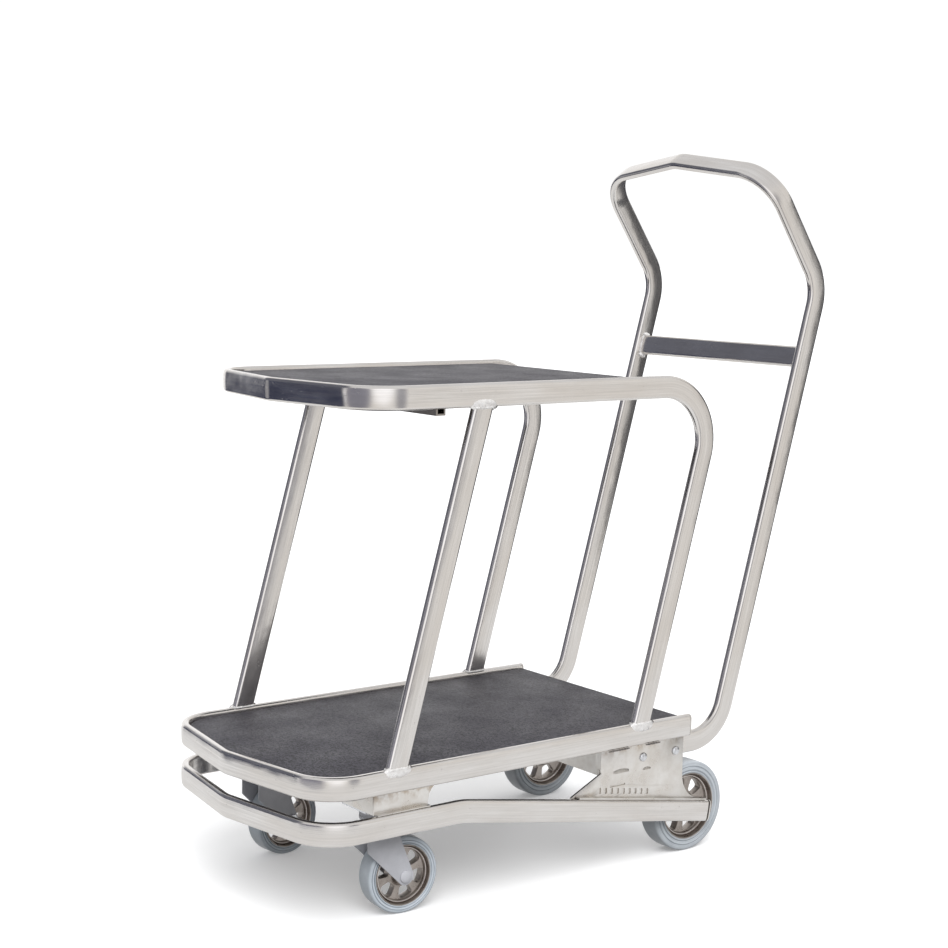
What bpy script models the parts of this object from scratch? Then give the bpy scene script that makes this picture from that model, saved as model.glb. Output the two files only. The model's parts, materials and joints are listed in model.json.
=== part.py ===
"""Nestable two-deck hotel luggage cart, built as separate parts in metres with +Z up.

The nose points along -Y, the push handle is at +Y, and the cart is symmetric about X = 0.
Left and right are those of the person who pushes it, so left is +X.
"""

import math

import bmesh
import bpy
from mathutils import Matrix, Vector

GAP = 0.0003
SIDES = (("left", 1), ("right", -1))

# The one rounded flat tube that all the frames are bent from.
TUBE_TALL = 0.038
TUBE_THICK = 0.015
TUBE_CORNER = 0.006
TUBE_CORNER_STEPS = 2
DEGREES_PER_BEND_STEP = 12

# The frames, seen from above: straight sides, round corners and a shallow V at the nose.
RAIL_X = 0.2335
NOSE_SLOPE = 0.15
CORNER_RADIUS = 0.0735
NOSE_BEND_RADIUS = 0.060

UPPER_Z = 0.824
LOWER_Z = 0.234
UPPER_NOSE_Y = -0.4695
LOWER_NOSE_Y = -0.5479
LOWER_REAR_Y = 0.2340

# All four legs and the handle lean back at the same angle.
LEAN = math.radians(15.5)
FRONT_LEG = Vector((0, -0.3200, 0.475))
REAR_LEG = Vector((0, 0.1841, 0.475))
HANDLE_LEG = Vector((0, 0.4276, 0.576))
SHOULDER_RADIUS = 0.094

# The nesting rail runs level under the lower frame, then slopes down in front of the rear wheels.
NESTING_Z = 0.1633
NESTING_BEND_Y = -0.2544
NESTING_SLOPE = -0.169
NESTING_REAR_Y = 0.2860
NESTING_BEND_RADIUS = 0.150

# The handle: level feet under the deck, leaning legs, and a hoop that tips forwards.
HANDLE_X = 0.214
HANDLE_FOOT_Z = 0.197
HANDLE_FOOT_Y = 0.052
HANDLE_FOOT_RADIUS = 0.080
HANDLE_KINK_Z = 0.9946
HANDLE_KINK_RADIUS = 0.085
HOOP_LEAN = math.radians(35)
HOOP_LENGTH = 0.266
HOOP_CORNER_RADIUS = 0.076
CROSSBAR_Z = 0.865

# Deck boards, a little below the top of their frames.
BOARD_THICK = 0.012
UPPER_BOARD_TOP = 0.836
LOWER_BOARD_TOP = 0.245
UPPER_BOARD_REAR_Y = 0.1436

# Folded sheet: bearers, caster channel, cross member and side plates.
SHEET = 0.003
BEARER_WIDE = 0.018
BEARERS = (("front", -0.3020, 0.030), ("rear", 0.060, 0.017))
CHANNEL_FRONT_Y = -0.4194
CHANNEL_REAR_Y = -0.3180
CHANNEL_END_REAR_Y = -0.2994
CHANNEL_END_HOLLOW = 0.018
CHANNEL_BOTTOM_Z = 0.1825
CROSS_MEMBER_Y = 0.0566
CROSS_MEMBER_DEEP = 0.045
CROSS_MEMBER_BOTTOM_Z = 0.164
PLATE_THICK = 0.0038
PLATE_OUTER_X = RAIL_X - TUBE_THICK / 2 - GAP
PLATE_TOP_Z = 0.230
PLATE_FRONT_Y = 0.0440
PLATE_REAR_Y = 0.2330
PLATE_TOE_Y = -0.0210
PLATE_TAIL_Y = 0.2812
PLATE_BOLTS_Y = (("front", 0.1390), ("rear", 0.2146))
PLATE_BOLT_Z = 0.189
BOLT_HOLE = 0.0045

# Wheels.
SEGMENTS = 28
REAR_WHEEL = {"radius": 0.080, "rim": 0.0585, "wide": 0.040, "hub": 0.020, "bore": 0.0085}
REAR_WHEEL_X = 0.197
REAR_WHEEL_Y = 0.2586
FRONT_WHEEL = {"radius": 0.0625, "rim": 0.0493, "wide": 0.036, "hub": 0.016, "bore": 0.0085}
TYRE_SHOULDER = 0.0045
BUSH_WALL = 0.0022
AXLE_RADIUS = 0.006
NUT_RADIUS = 0.0105
SPOKES = 6
WINDOW_FOOT = math.radians(17)
WINDOW_HEAD = math.radians(20)

# Front swivel casters.
CASTER_X = 0.172
CASTER_Y = -0.3764
CASTER_TRAIL = 0.041
CASTER_YAW = {"left": math.radians(-5), "right": math.radians(6)}
CASTER_PLATE = Vector((0.080, 0.084, 0.003))
FORK_WIDE = 0.050
FORK_SHEET = 0.003
FORK_TOP_Z = 0.152
FORK_FRONT_Y = -0.0275
FORK_FRONT_CORNER_Z = 0.1105
FORK_REAR_Y = 0.031
FORK_REAR_CORNER_Z = 0.127
FORK_FOOT_RADIUS = 0.0145
KINGPIN_RADIUS = 0.006

MATERIALS = {
    "brushed_tube": ((0.72, 0.70, 0.67), 0.28, 1.0),
    "folded_sheet": ((0.62, 0.59, 0.54), 0.38, 1.0),
    "deck_board": ((0.085, 0.085, 0.095), 0.75, 0.0),
    "grey_rubber": ((0.36, 0.41, 0.46), 0.60, 0.0),
    "cast_rim": ((0.50, 0.46, 0.40), 0.45, 0.6),
    "grey_paint": ((0.42, 0.42, 0.46), 0.45, 0.2),
    "zinc": ((0.60, 0.60, 0.62), 0.35, 1.0),
    "bush_plastic": ((0.20, 0.20, 0.21), 0.50, 0.0),
    "cap_metal": ((0.70, 0.68, 0.65), 0.30, 1.0),
}


def clear_scene():
    for thing in list(bpy.data.objects):
        bpy.data.objects.remove(thing, do_unlink=True)


def make_materials():
    for name, (colour, roughness, metallic) in MATERIALS.items():
        material = bpy.data.materials.new(name)
        material.use_nodes = True
        shader = material.node_tree.nodes["Principled BSDF"]
        shader.inputs["Base Color"].default_value = (*colour, 1)
        shader.inputs["Roughness"].default_value = roughness
        shader.inputs["Metallic"].default_value = metallic


def add_object(name, shape, material, parent=None, smooth=True):
    """Turns a bmesh into a named object with a material."""
    bmesh.ops.recalc_face_normals(shape, faces=shape.faces)
    mesh = bpy.data.meshes.new(name)
    shape.to_mesh(mesh)
    shape.free()
    if smooth:
        mesh.shade_smooth()
        mesh.set_sharp_from_angle(angle=math.radians(35))
    made = bpy.data.objects.new(name, mesh)
    bpy.context.scene.collection.objects.link(made)
    made.data.materials.append(bpy.data.materials[material])
    made.parent = parent
    return made


def add_empty(name, place, parent=None, yaw=0.0):
    made = bpy.data.objects.new(name, None)
    bpy.context.scene.collection.objects.link(made)
    made.location = place
    made.rotation_euler.z = yaw
    made.parent = parent
    return made


def cut(target, cutter, operation="DIFFERENCE"):
    """Adds a Boolean modifier and hides its cutter."""
    cutter.hide_render = True
    cutter.display_type = "WIRE"
    modifier = target.modifiers.new(cutter.name, "BOOLEAN")
    modifier.operation = operation
    modifier.object = cutter
    modifier.solver = "EXACT"


def rounded_rectangle(wide, tall, radius, steps=TUBE_CORNER_STEPS):
    """The outline of a rounded rectangle as (across, up) pairs."""
    outline = []
    for quarter, (side, level) in enumerate(((1, 1), (-1, 1), (-1, -1), (1, -1))):
        for step in range(steps + 1):
            angle = math.radians(90) * (quarter + step / steps)
            across = side * (wide / 2 - radius) + radius * math.cos(angle)
            up = level * (tall / 2 - radius) + radius * math.sin(angle)
            outline.append((across, up))
    return outline


def bend_path(corners, radii):
    """Stations (point, direction) along straight runs that are joined by round bends."""
    stations = [(corners[0], (corners[1] - corners[0]).normalized())]
    for before, corner, after, radius in zip(corners, corners[1:], corners[2:], radii):
        incoming = (corner - before).normalized()
        outgoing = (after - corner).normalized()
        turn = incoming.angle(outgoing)
        axis = incoming.cross(outgoing).normalized()
        start = corner - incoming * radius * math.tan(turn / 2)
        centre = start + axis.cross(incoming) * radius
        steps = max(2, math.ceil(math.degrees(turn) / DEGREES_PER_BEND_STEP))
        for step in range(steps + 1):
            turned = Matrix.Rotation(turn * step / steps, 3, axis)
            stations.append((centre + turned @ (start - centre), turned @ incoming))
    stations.append((corners[-1], (corners[-1] - corners[-2]).normalized()))
    return stations


def add_tube(name, stations, side, material="brushed_tube", end_levels=(None, None)):
    """Sweeps the tube's section along the stations; end_levels cut its ends level at a height."""
    shape = bmesh.new()
    section = rounded_rectangle(TUBE_THICK, TUBE_TALL, TUBE_CORNER)
    rings = []
    for point, direction in stations:
        side = (side - direction * side.dot(direction)).normalized()
        up = direction.cross(side)
        rings.append([shape.verts.new(point + side * a + up * b) for a, b in section])
    for ring, (_, direction), level in (
        (rings[0], stations[0], end_levels[0]),
        (rings[-1], stations[-1], end_levels[1]),
    ):
        for vertex in ring if level is not None else ():
            vertex.co += direction * (level - vertex.co.z) / direction.z
    for first, second in zip(rings, rings[1:]):
        for i, vertex in enumerate(first):
            shape.faces.new((first[i - 1], vertex, second[i], second[i - 1]))
    shape.faces.new(rings[0])
    shape.faces.new(rings[-1])
    return add_object(name, shape, material)


def prism(outline, axis, low, high):
    """A bmesh of the outline's pairs, extruded from low to high along axis 0, 1 or 2."""
    shape = bmesh.new()
    corners = []
    for first, second in outline:
        place = [first, second]
        place.insert(axis, low)
        corners.append(shape.verts.new(place))
    base = shape.faces.new(corners)
    grown = bmesh.ops.extrude_face_region(shape, geom=[base])
    moved = [part for part in grown["geom"] if isinstance(part, bmesh.types.BMVert)]
    travel = Vector((0, 0, 0))
    travel[axis] = high - low
    bmesh.ops.translate(shape, verts=moved, vec=travel)
    return shape


def add_prism(name, outline, axis, low, high, material="folded_sheet", parent=None):
    return add_object(name, prism(outline, axis, low, high), material, parent, smooth=False)


def box_outline(low_first, low_second, high_first, high_second):
    return (
        (low_first, low_second),
        (high_first, low_second),
        (high_first, high_second),
        (low_first, high_second),
    )


def add_lathe(name, profile, material, axis="X", parent=None, closed=True, segments=SEGMENTS):
    """Spins (along, radius) pairs about X or Z. A closed profile makes a ring."""
    shape = bmesh.new()
    spin_axis = Vector((1, 0, 0)) if axis == "X" else Vector((0, 0, 1))
    places = [(along, 0, -radius) if axis == "X" else (0, -radius, along) for along, radius in profile]
    corners = [shape.verts.new(place) for place in places]
    pairs = list(zip(corners, corners[1:]))
    if closed:
        pairs.append((corners[-1], corners[0]))
    edges = [shape.edges.new(pair) for pair in pairs]
    bmesh.ops.spin(
        shape,
        geom=corners + edges,
        cent=(0, 0, 0),
        axis=spin_axis,
        angle=math.tau,
        steps=segments,
        use_merge=True,
    )
    bmesh.ops.remove_doubles(shape, verts=shape.verts, dist=1e-6)
    return add_object(name, shape, material, parent)


def nose_corners(nose_y, z, inset=0.0):
    """Left side, nose and right side of a frame's centre line, or of a line inset from it."""
    side_x = RAIL_X - inset
    tip_y = nose_y + inset * math.hypot(1, NOSE_SLOPE)
    return [
        Vector((side_x, tip_y + NOSE_SLOPE * side_x, z)),
        Vector((0, tip_y, z)),
        Vector((-side_x, tip_y + NOSE_SLOPE * side_x, z)),
    ]


def nose_radii(inset=0.0):
    return [CORNER_RADIUS - inset, NOSE_BEND_RADIUS - inset, CORNER_RADIUS - inset]


def leaning(base, z, x):
    """The point at height z on a leg's centre line."""
    return Vector((x, base.y + math.tan(LEAN) * (z - base.z), z))


def add_upper_frame():
    leg_end_z = LOWER_Z + TUBE_TALL / 2 + GAP
    path = bend_path(
        [leaning(REAR_LEG, leg_end_z, RAIL_X), leaning(REAR_LEG, UPPER_Z, RAIL_X)]
        + nose_corners(UPPER_NOSE_Y, UPPER_Z)
        + [leaning(REAR_LEG, UPPER_Z, -RAIL_X), leaning(REAR_LEG, leg_end_z, -RAIL_X)],
        [SHOULDER_RADIUS] + nose_radii() + [SHOULDER_RADIUS],
    )
    add_tube("upper_frame_tube", path, Vector((1, 0, 0)), end_levels=(leg_end_z, leg_end_z))


def add_lower_frame():
    left_end = Vector((RAIL_X, LOWER_REAR_Y, LOWER_Z))
    right_end = Vector((-RAIL_X, LOWER_REAR_Y, LOWER_Z))
    corners = [left_end] + nose_corners(LOWER_NOSE_Y, LOWER_Z) + [right_end]
    add_tube("lower_frame_tube", bend_path(corners, nose_radii()), Vector((1, 0, 0)))


def nesting_height(y):
    return NESTING_Z + NESTING_SLOPE * max(0.0, y - NESTING_BEND_Y)


def add_nesting_rail():
    side = [(NESTING_REAR_Y, nesting_height(NESTING_REAR_Y)), (NESTING_BEND_Y, NESTING_Z)]
    left = [Vector((RAIL_X, y, z)) for y, z in side]
    right = [Vector((-RAIL_X, y, z)) for y, z in reversed(side)]
    corners = left + nose_corners(LOWER_NOSE_Y, NESTING_Z) + right
    radii = [NESTING_BEND_RADIUS] + nose_radii() + [NESTING_BEND_RADIUS]
    add_tube("nesting_rail", bend_path(corners, radii), Vector((1, 0, 0)))


def handle_kink():
    return leaning(HANDLE_LEG, HANDLE_KINK_Z, 0)


def hoop_point(x, distance):
    """A point in the hoop's tipped plane, at this distance above the kinks."""
    along = Vector((0, -math.sin(HOOP_LEAN), math.cos(HOOP_LEAN)))
    return handle_kink() + along * distance + Vector((x, 0, 0))


def handle_corners(side):
    """Foot, heel, kink and hoop corner of one side of the handle."""
    x = HANDLE_X * side
    heel = leaning(HANDLE_LEG, HANDLE_FOOT_Z, x)
    foot = Vector((x, HANDLE_FOOT_Y, HANDLE_FOOT_Z))
    kink = handle_kink() + Vector((x, 0, 0))
    return [foot, heel, kink, hoop_point(x, HOOP_LENGTH - NOSE_SLOPE * HANDLE_X)]


def add_handle():
    corners = handle_corners(1) + [hoop_point(0, HOOP_LENGTH)] + handle_corners(-1)[::-1]
    bends = [HANDLE_FOOT_RADIUS, HANDLE_KINK_RADIUS, HOOP_CORNER_RADIUS]
    path = bend_path(corners, bends + [NOSE_BEND_RADIUS] + bends[::-1])
    handle = add_tube("handle_tube", path, Vector((1, 0, 0)))
    for side_name, side in SIDES:
        for place, y in PLATE_BOLTS_Y:
            profile = ((-0.009, 0), (-0.009, BOLT_HOLE), (0.02, BOLT_HOLE), (0.02, 0))
            cutter = add_lathe(
                f"cut_handle_{place}_{side_name}", profile, "zinc", closed=False, segments=12
            )
            cutter.location = (side * (HANDLE_X + TUBE_THICK / 2), y, PLATE_BOLT_Z)
            cutter.rotation_euler.z = 0 if side > 0 else math.pi
            cut(handle, cutter)


def add_crossbar():
    reach = HANDLE_X - TUBE_THICK / 2 - GAP
    middle = leaning(HANDLE_LEG, CROSSBAR_Z, 0)
    ends = [middle + Vector((reach, 0, 0)), middle - Vector((reach, 0, 0))]
    across = Vector((0, math.cos(LEAN), -math.sin(LEAN)))
    add_tube("handle_crossbar", bend_path(ends, []), across)


def add_front_legs():
    low = LOWER_Z + TUBE_TALL / 2 + GAP
    high = UPPER_Z - TUBE_TALL / 2 - GAP
    for side_name, side in SIDES:
        ends = [leaning(FRONT_LEG, low, side * RAIL_X), leaning(FRONT_LEG, high, side * RAIL_X)]
        path = bend_path(ends, [])
        add_tube(f"front_leg_{side_name}", path, Vector((1, 0, 0)), end_levels=(low, high))


def add_boards():
    inset = TUBE_THICK / 2 + GAP
    for name, nose_y, rear_y, top in (
        ("upper_deck_board", UPPER_NOSE_Y, UPPER_BOARD_REAR_Y, UPPER_BOARD_TOP),
        ("lower_deck_board", LOWER_NOSE_Y, LOWER_REAR_Y, LOWER_BOARD_TOP),
    ):
        side_x = RAIL_X - inset
        rear = [Vector((side_x, rear_y, top)), Vector((-side_x, rear_y, top))]
        corners = [rear[0]] + nose_corners(nose_y, top, inset) + [rear[1]]
        outline = [point.xy for point, _ in bend_path(corners, nose_radii(inset))]
        add_prism(name, outline, 2, top - BOARD_THICK, top, "deck_board")


def channel_outline(front, rear, bottom, top):
    """The (y, z) section of a folded channel that opens upwards."""
    return (
        (front, top),
        (front, bottom),
        (rear, bottom),
        (rear, top),
        (rear - SHEET, top),
        (rear - SHEET, bottom + SHEET),
        (front + SHEET, bottom + SHEET),
        (front + SHEET, top),
    )


def add_bearers():
    reach = RAIL_X - TUBE_THICK / 2 - GAP
    top = UPPER_BOARD_TOP - BOARD_THICK - GAP
    for place, y, drop in BEARERS:
        edges = (y - BEARER_WIDE / 2, y + BEARER_WIDE / 2)
        outline = channel_outline(*edges, top - drop, top)
        add_prism(f"upper_bearer_{place}", outline, 0, -reach, reach)


def add_caster_channel():
    top = LOWER_BOARD_TOP - BOARD_THICK - GAP
    outline = channel_outline(CHANNEL_FRONT_Y, CHANNEL_REAR_Y, CHANNEL_BOTTOM_Z, top)
    reach = RAIL_X - TUBE_THICK / 2 - GAP
    channel = add_prism("front_caster_channel", outline, 0, -reach, reach)
    for side_name, side in SIDES:
        profile = ((-0.02, 0), (-0.02, KINGPIN_RADIUS + GAP), (0.02, KINGPIN_RADIUS + GAP), (0.02, 0))
        cutter = add_lathe(
            f"cut_channel_{side_name}", profile, "zinc", axis="Z", closed=False, segments=16
        )
        cutter.location = (side * CASTER_X, CASTER_Y, CHANNEL_BOTTOM_Z)
        cut(channel, cutter)


def add_channel_ends():
    """Shaped end plates that fill the gap between the lower frame and the nesting rail."""
    top = LOWER_Z - TUBE_TALL / 2 - GAP
    bottom = NESTING_Z + TUBE_TALL / 2 + GAP
    rear_curve = [
        (
            CHANNEL_END_REAR_Y - CHANNEL_END_HOLLOW * math.sin(math.radians(90 * step / 4)),
            top - (top - bottom - SHEET) * (1 - math.cos(math.radians(90 * step / 4))),
        )
        for step in range(5)
    ]
    outline = [(CHANNEL_FRONT_Y, top)] + rear_curve
    outline += [(CHANNEL_END_REAR_Y - CHANNEL_END_HOLLOW, bottom), (CHANNEL_FRONT_Y, bottom)]
    for side_name, side in SIDES:
        inner = RAIL_X - TUBE_THICK / 2
        edges = sorted((side * inner, side * (inner + SHEET)))
        add_prism(f"channel_end_{side_name}", outline, 0, *edges)


def add_cross_member():
    top = LOWER_BOARD_TOP - BOARD_THICK - GAP
    reach = HANDLE_X - TUBE_THICK / 2 - GAP
    front = CROSS_MEMBER_Y
    rear = front + CROSS_MEMBER_DEEP
    outline = (
        (front, CROSS_MEMBER_BOTTOM_Z),
        (rear, CROSS_MEMBER_BOTTOM_Z),
        (rear, CROSS_MEMBER_BOTTOM_Z + SHEET),
        (front + SHEET, CROSS_MEMBER_BOTTOM_Z + SHEET),
        (front + SHEET, top - SHEET),
        (rear, top - SHEET),
        (rear, top),
        (front, top),
    )
    add_prism("rear_cross_member", outline, 0, -reach, reach)


def side_plate_outline():
    """The (y, z) outline: two upper corners, a hollow rear edge, a deep tail and a sloping toe."""
    tail_z = nesting_height(PLATE_TAIL_Y)
    hollow_low = tail_z + TUBE_TALL / 2 + SHEET
    hollow_high = 0.143
    hollow = [
        (
            PLATE_TAIL_Y - (PLATE_TAIL_Y - PLATE_REAR_Y) * math.sin(math.radians(90 * step / 5)),
            hollow_low + (hollow_high - hollow_low) * (1 - math.cos(math.radians(90 * step / 5))),
        )
        for step in range(6)
    ]
    toe_z = nesting_height(PLATE_TOE_Y)
    return (
        [(PLATE_TAIL_Y, tail_z - TUBE_TALL / 3)]
        + hollow
        + [(PLATE_REAR_Y, PLATE_TOP_Z), (PLATE_FRONT_Y, PLATE_TOP_Z), (PLATE_FRONT_Y, 0.182)]
        + [(PLATE_TOE_Y, toe_z + TUBE_TALL / 2), (PLATE_TOE_Y, toe_z - TUBE_TALL / 3)]
    )


def foot_flange_outline():
    """The (y, z) outline of the strip that lies on top of the nesting rail."""
    rise = TUBE_TALL / 2 * math.hypot(1, NESTING_SLOPE) + GAP
    low = [(y, nesting_height(y) + rise) for y in (PLATE_TOE_Y + 0.008, PLATE_TAIL_Y)]
    return low + [(y, z + SHEET) for y, z in reversed(low)]


def add_side_plates():
    for side_name, side in SIDES:
        faces = sorted((side * (PLATE_OUTER_X - PLATE_THICK), side * PLATE_OUTER_X))
        plate = add_prism(f"side_plate_{side_name}", side_plate_outline(), 0, *faces)
        flange_ends = sorted((side * (PLATE_OUTER_X - 0.001), side * (RAIL_X + 0.005)))
        flange = add_prism(f"flange_{side_name}", foot_flange_outline(), 0, *flange_ends)
        cut(plate, flange, "UNION")
        holes = [(place, y, PLATE_BOLT_Z, BOLT_HOLE) for place, y in PLATE_BOLTS_Y]
        holes.append(("axle", REAR_WHEEL_Y, REAR_WHEEL["radius"], AXLE_RADIUS + GAP))
        for place, y, z, radius in holes:
            profile = ((-0.02, 0), (-0.02, radius), (0.02, radius), (0.02, 0))
            cutter = add_lathe(
                f"cut_plate_{place}_{side_name}", profile, "zinc", closed=False, segments=16
            )
            cutter.location = (side * PLATE_OUTER_X, y, z)
            cut(plate, cutter)
        for place, y in PLATE_BOLTS_Y:
            add_plate_bolt(f"plate_bolt_{place}_{side_name}", side, y)


def add_plate_bolt(name, side, y):
    """A low round-headed bolt through the side plate into the handle's foot."""
    profile = (
        (-0.0110, 0),
        (-0.0110, 0.0040),
        (GAP, 0.0040),
        (GAP, 0.0080),
        (0.0024, 0.0072),
        (0.0040, 0.0045),
        (0.0044, 0),
    )
    bolt = add_lathe(name, profile, "zinc", closed=False, segments=12)
    bolt.location = (side * PLATE_OUTER_X, y, PLATE_BOLT_Z)
    bolt.rotation_euler.z = 0 if side > 0 else math.pi


def add_end_caps():
    """Flat caps welded on the rear ends of the two rails."""
    section = rounded_rectangle(TUBE_THICK, TUBE_TALL, TUBE_CORNER)
    tilt = math.atan(NESTING_SLOPE)
    for side_name, side in SIDES:
        for name, y, z, angle in (
            ("lower_rail_cap", LOWER_REAR_Y, LOWER_Z, 0.0),
            ("nesting_rail_cap", NESTING_REAR_Y, nesting_height(NESTING_REAR_Y), tilt),
        ):
            cap = add_prism(f"{name}_{side_name}", section, 1, GAP, 0.0025, "cap_metal")
            cap.location = (side * RAIL_X, y, z)
            cap.rotation_euler.x = angle


def rim_profile(size):
    """The (along, radius) section of a rim: hub, thin web and outer ring."""
    half = size["wide"] / 2
    ring_in = size["rim"] - 0.006
    hub_half = half + 0.001
    return (
        (-hub_half, size["bore"] + GAP),
        (hub_half, size["bore"] + GAP),
        (hub_half, size["hub"]),
        (0.007, size["hub"] + 0.003),
        (0.007, ring_in - 0.003),
        (half - 0.004, ring_in),
        (half - 0.004, size["rim"]),
        (-(half - 0.004), size["rim"]),
        (-(half - 0.004), ring_in),
        (-0.007, ring_in - 0.003),
        (-0.007, size["hub"] + 0.003),
        (-hub_half, size["hub"]),
    )


def tyre_profile(size):
    half = size["wide"] / 2
    outer = size["radius"]
    inner = size["rim"] + GAP
    right = (
        (half - 0.003, inner),
        (half, inner + 0.004),
        (half, outer - TYRE_SHOULDER),
        (half - TYRE_SHOULDER * 0.3, outer - TYRE_SHOULDER * 0.3),
        (half - TYRE_SHOULDER, outer),
    )
    return right + tuple((-along, radius) for along, radius in reversed(right))


def add_wheel(name, size, parent):
    """Tyre, spoked rim and bush, all centred on the axle."""
    add_lathe(f"{name}_tyre", tyre_profile(size), "grey_rubber", parent=parent)
    rim = add_lathe(f"{name}_rim", rim_profile(size), "cast_rim", parent=parent)
    low = size["hub"] + 0.0045
    high = size["rim"] - 0.0105
    for spoke in range(SPOKES):
        turn = math.tau * (spoke + 0.5) / SPOKES
        window = [
            (radius * math.sin(turn + angle), radius * math.cos(turn + angle))
            for radius, angle in (
                (low, -WINDOW_FOOT),
                (high, -WINDOW_HEAD),
                (high, WINDOW_HEAD),
                (low, WINDOW_FOOT),
            )
        ]
        cutter = add_prism(f"cut_{name}_{spoke}", window, 0, -0.03, 0.03, parent=parent)
        cut(rim, cutter)
    half = size["wide"] / 2 + 0.003
    inner = size["bore"] - BUSH_WALL
    bush = ((-half, inner), (half, inner), (half, size["bore"]), (-half, size["bore"]))
    add_lathe(f"{name}_bush", bush, "bush_plastic", parent=parent, segments=16)


def add_axle_nut(name, place, turn, low, high, parent=None):
    """A hexagon nut around an axle bolt, from low to high along the axle."""
    hexagon = [
        (NUT_RADIUS * math.cos(math.radians(60 * corner)), NUT_RADIUS * math.sin(math.radians(60 * corner)))
        for corner in range(6)
    ]
    nut = add_prism(name, hexagon, 0, low, high, "zinc", parent)
    radius = AXLE_RADIUS + GAP
    profile = ((low - 0.01, 0), (low - 0.01, radius), (high + 0.01, radius), (high + 0.01, 0))
    cutter = add_lathe(f"cut_{name}", profile, "zinc", "X", parent, False, 16)
    for made in (nut, cutter):
        made.location = place
        made.rotation_euler.z = turn
    cut(nut, cutter)


def add_rear_wheels():
    """Each wheel turns on a stub axle that stands inwards from its side plate."""
    half = REAR_WHEEL["wide"] / 2 + 0.003 + GAP
    plate_inner = PLATE_OUTER_X - PLATE_THICK - GAP - REAR_WHEEL_X
    for side_name, side in SIDES:
        place = (side * REAR_WHEEL_X, REAR_WHEEL_Y, REAR_WHEEL["radius"])
        centre = add_empty(f"rear_wheel_{side_name}", place)
        add_wheel(f"rear_{side_name}", REAR_WHEEL, centre)
        turn = 0 if side > 0 else math.pi
        axle = (
            (plate_inner + GAP + PLATE_THICK, 0),
            (plate_inner + GAP + PLATE_THICK, AXLE_RADIUS),
            (plate_inner, AXLE_RADIUS),
            (plate_inner, 0.009),
            (half, 0.009),
            (half, AXLE_RADIUS),
            (-half - 0.010, AXLE_RADIUS),
            (-half - 0.010, 0),
        )
        pin = add_lathe(f"rear_axle_{side_name}", axle, "zinc", closed=False, segments=16)
        pin.location = place
        pin.rotation_euler.z = turn
        add_axle_nut(f"rear_axle_nut_{side_name}", place, turn, -half - 0.008, -half)


def fork_outline():
    """The (y, z) outline of a cheek, about the kingpin: wide crown, round foot at the axle."""
    axle_z = FRONT_WHEEL["radius"]
    curve = [
        (
            CASTER_TRAIL + FORK_FOOT_RADIUS * math.cos(math.radians(angle)),
            axle_z + FORK_FOOT_RADIUS * math.sin(math.radians(angle)),
        )
        for angle in (25, -10, -45, -80, -115, -145)
    ]
    crown = [
        (FORK_FRONT_Y, FORK_FRONT_CORNER_Z),
        (FORK_FRONT_Y, FORK_TOP_Z),
        (FORK_REAR_Y, FORK_TOP_Z),
        (FORK_REAR_Y, FORK_REAR_CORNER_Z),
    ]
    return crown + curve


def add_casters():
    for side_name, side in SIDES:
        place = Vector((side * CASTER_X, CASTER_Y, 0))
        add_caster_mount(side_name, place)
        swivel = add_empty(f"caster_{side_name}", place, yaw=CASTER_YAW[side_name])
        add_fork(side_name, swivel)
        axle_place = (0, CASTER_TRAIL, FRONT_WHEEL["radius"])
        centre = add_empty(f"front_wheel_{side_name}", axle_place, swivel)
        add_wheel(f"front_{side_name}", FRONT_WHEEL, centre)
        add_fork_axle(side_name, swivel)


def add_caster_mount(side_name, place):
    """Top plate under the channel, and the kingpin through plate, head and fork."""
    top = CHANNEL_BOTTOM_Z - GAP
    half_x = CASTER_PLATE.x / 2
    half_y = CASTER_PLATE.y / 2
    outline = rounded_rectangle(half_x * 2, half_y * 2, 0.008)
    plate = add_prism(f"caster_plate_{side_name}", outline, 2, -CASTER_PLATE.z, 0, "zinc")
    plate.location = place + Vector((0, 0, top))
    radius = KINGPIN_RADIUS + GAP
    profile = ((-0.01, 0), (-0.01, radius), (0.01, radius), (0.01, 0))
    cutter = add_lathe(f"cut_mount_{side_name}", profile, "zinc", "Z", closed=False, segments=16)
    cutter.location = place + Vector((0, 0, top))
    cut(plate, cutter)
    head_low = FORK_TOP_Z - FORK_SHEET - GAP - 0.004
    pin_profile = (
        (head_low, 0),
        (head_low, 0.010),
        (FORK_TOP_Z - FORK_SHEET - GAP, 0.010),
        (FORK_TOP_Z - FORK_SHEET - GAP, KINGPIN_RADIUS),
        (CHANNEL_BOTTOM_Z + SHEET + GAP, KINGPIN_RADIUS),
        (CHANNEL_BOTTOM_Z + SHEET + GAP, 0.010),
        (CHANNEL_BOTTOM_Z + SHEET + 0.006, 0.010),
        (CHANNEL_BOTTOM_Z + SHEET + 0.006, 0),
    )
    pin = add_lathe(f"kingpin_{side_name}", pin_profile, "zinc", "Z", closed=False, segments=16)
    pin.location = place


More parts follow.
